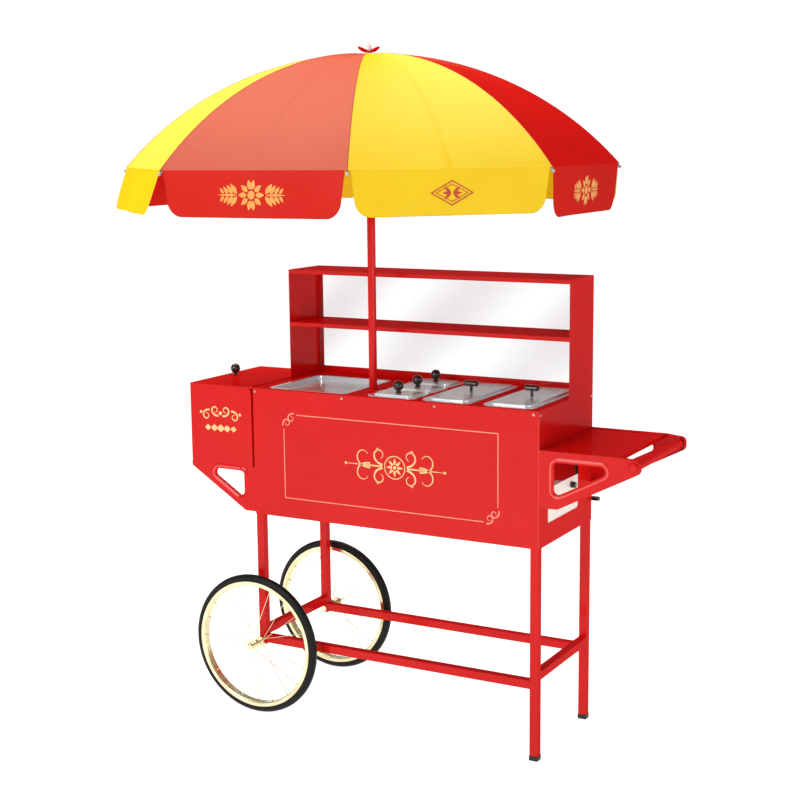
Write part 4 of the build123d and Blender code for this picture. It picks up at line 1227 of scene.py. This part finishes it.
@dataclass
class Studio:
    """A white paper floor, soft boxes and the camera."""

    corner: Vector  # the front panel's right edge, on the floor
    place: Triple = (1.7286, -3.9369, 1.8231)  # of the camera, from there
    yaw: float = 29.01  # degrees to the left of +Y
    pitch: float = 9.64  # degrees below level
    roll: float = -0.57
    lens_mm: float = 68.49
    sensor_mm: float = 36
    floor: float = 30.0  # half its side
    light: Pair = (1.06, 0.32)  # of the walls and of the ceiling
    band: Pair = (0.09, 0.17)  # heights on a unit sphere where one passes into the other
    # Name, place, aim, side, power in watts and colour of each soft box
    lamps: tuple[tuple[str, Triple, Triple, float, float, str], ...] = (
        ("key", (-1.4, -5.2, 3.6), (0, 0, 1.1), 2.4, 142, "ffffff"),
        ("fill", (4.0, -1.3, 1.0), (0.4, 0, 0.8), 1.8, 27, "ffffff"),
        ("overhead", (-0.9, 0.6, 5.2), (-0.2, -0.1, 1.9), 4.0, 215, "fff3e4"),
        ("wing", (-3.6, 0.9, 4.4), (-0.3, -0.4, 1.8), 1.8, 12, "ffe9cf"),
    )

    def set_camera(self) -> None:
        """Set up the camera."""
        data = bpy.data.cameras.new("camera")
        data.lens = self.lens_mm
        data.sensor_width = self.sensor_mm
        data.clip_end = 2 * self.floor
        eye = show_object("camera", data)
        eye.matrix_world = Matrix.Translation(self.corner + Vector(self.place))
        for angle, axis in ((self.yaw, "Z"), (90 - self.pitch, "X"), (self.roll, "Z")):
            eye.matrix_world @= Matrix.Rotation(math.radians(angle), 4, axis)
        bpy.context.scene.camera = eye

    def set_lamps(self) -> None:
        """Set up the soft boxes."""
        for name, place, aim, side, power, tint in self.lamps:
            data = bpy.data.lights.new(name, "AREA")
            data.color = linear(tint)[:3]
            data.size = side
            data.energy = power
            box = show_object(name, data)
            box.location = place
            ray = Vector(aim) - Vector(place)
            box.rotation_euler = ray.to_track_quat("-Z", "Y").to_euler()

    def set_world(self) -> None:
        """Set up the light of the walls and the ceiling."""
        world = bpy.data.worlds.new("studio")
        world.use_nodes = True
        tree = world.node_tree
        way = add_node(tree, "TexCoord", output="Generated")
        height = add_node(tree, "SeparateXYZ", {0: way}, "Z")
        inputs = tree.nodes["Background"].inputs
        feed(tree, inputs["Strength"], map_range(tree, height, self.light, self.band, True))
        feed(tree, inputs["Color"], linear("ffffff"))
        bpy.context.scene.world = world

    def build(self) -> None:
        """Set up floor, light, camera and colour."""
        shape = Shape()
        corners = ((-1, -1), (1, -1), (1, 1), (-1, 1))
        shape.face([Vector((x * self.floor, y * self.floor, 0)) for x, y in corners])
        shape.piece("studio_floor", FLOOR_PAPER, smooth=False)
        self.set_world()
        self.set_lamps()
        self.set_camera()
        bpy.context.scene.view_settings.view_transform = "Standard"


def rib_turns(frame: dict) -> list[float]:
    """The angle of each rib about the pole, in radians, from the axis of its hinge."""
    axes = (joint["axis"] for joint in frame["joints"] if joint["name"].startswith("rib_"))
    return [math.atan2(-axis[0], axis[1]) for axis in axes]


def main() -> None:
    """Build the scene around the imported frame."""
    logging.basicConfig(level=logging.INFO, format="%(name)s: %(message)s")
    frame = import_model()
    Dressing(frame).build()

    pole_low, pole_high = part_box("umbrella_pole")
    pole = Vector(((pole_low.x + pole_high.x) / 2, (pole_low.y + pole_high.y) / 2, 0))
    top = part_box("canopy_red")[1].z
    Canopy(pole, rib_turns(frame), top).build()
    finial_low, finial_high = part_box("finial")
    reach = (finial_high.x - finial_low.x) / 2
    Topknot(pole, top, finial_high.z, reach).build()

    panel_low, panel_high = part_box("front_panel")
    Striping((panel_low, panel_high)).build()
    PaintedEdgeHighlights(panel_low, panel_high).build()
    Fittings().build()
    Studio(corner=Vector((panel_high.x, panel_low.y, 0))).build()


if __name__ == "__main__":
    main()
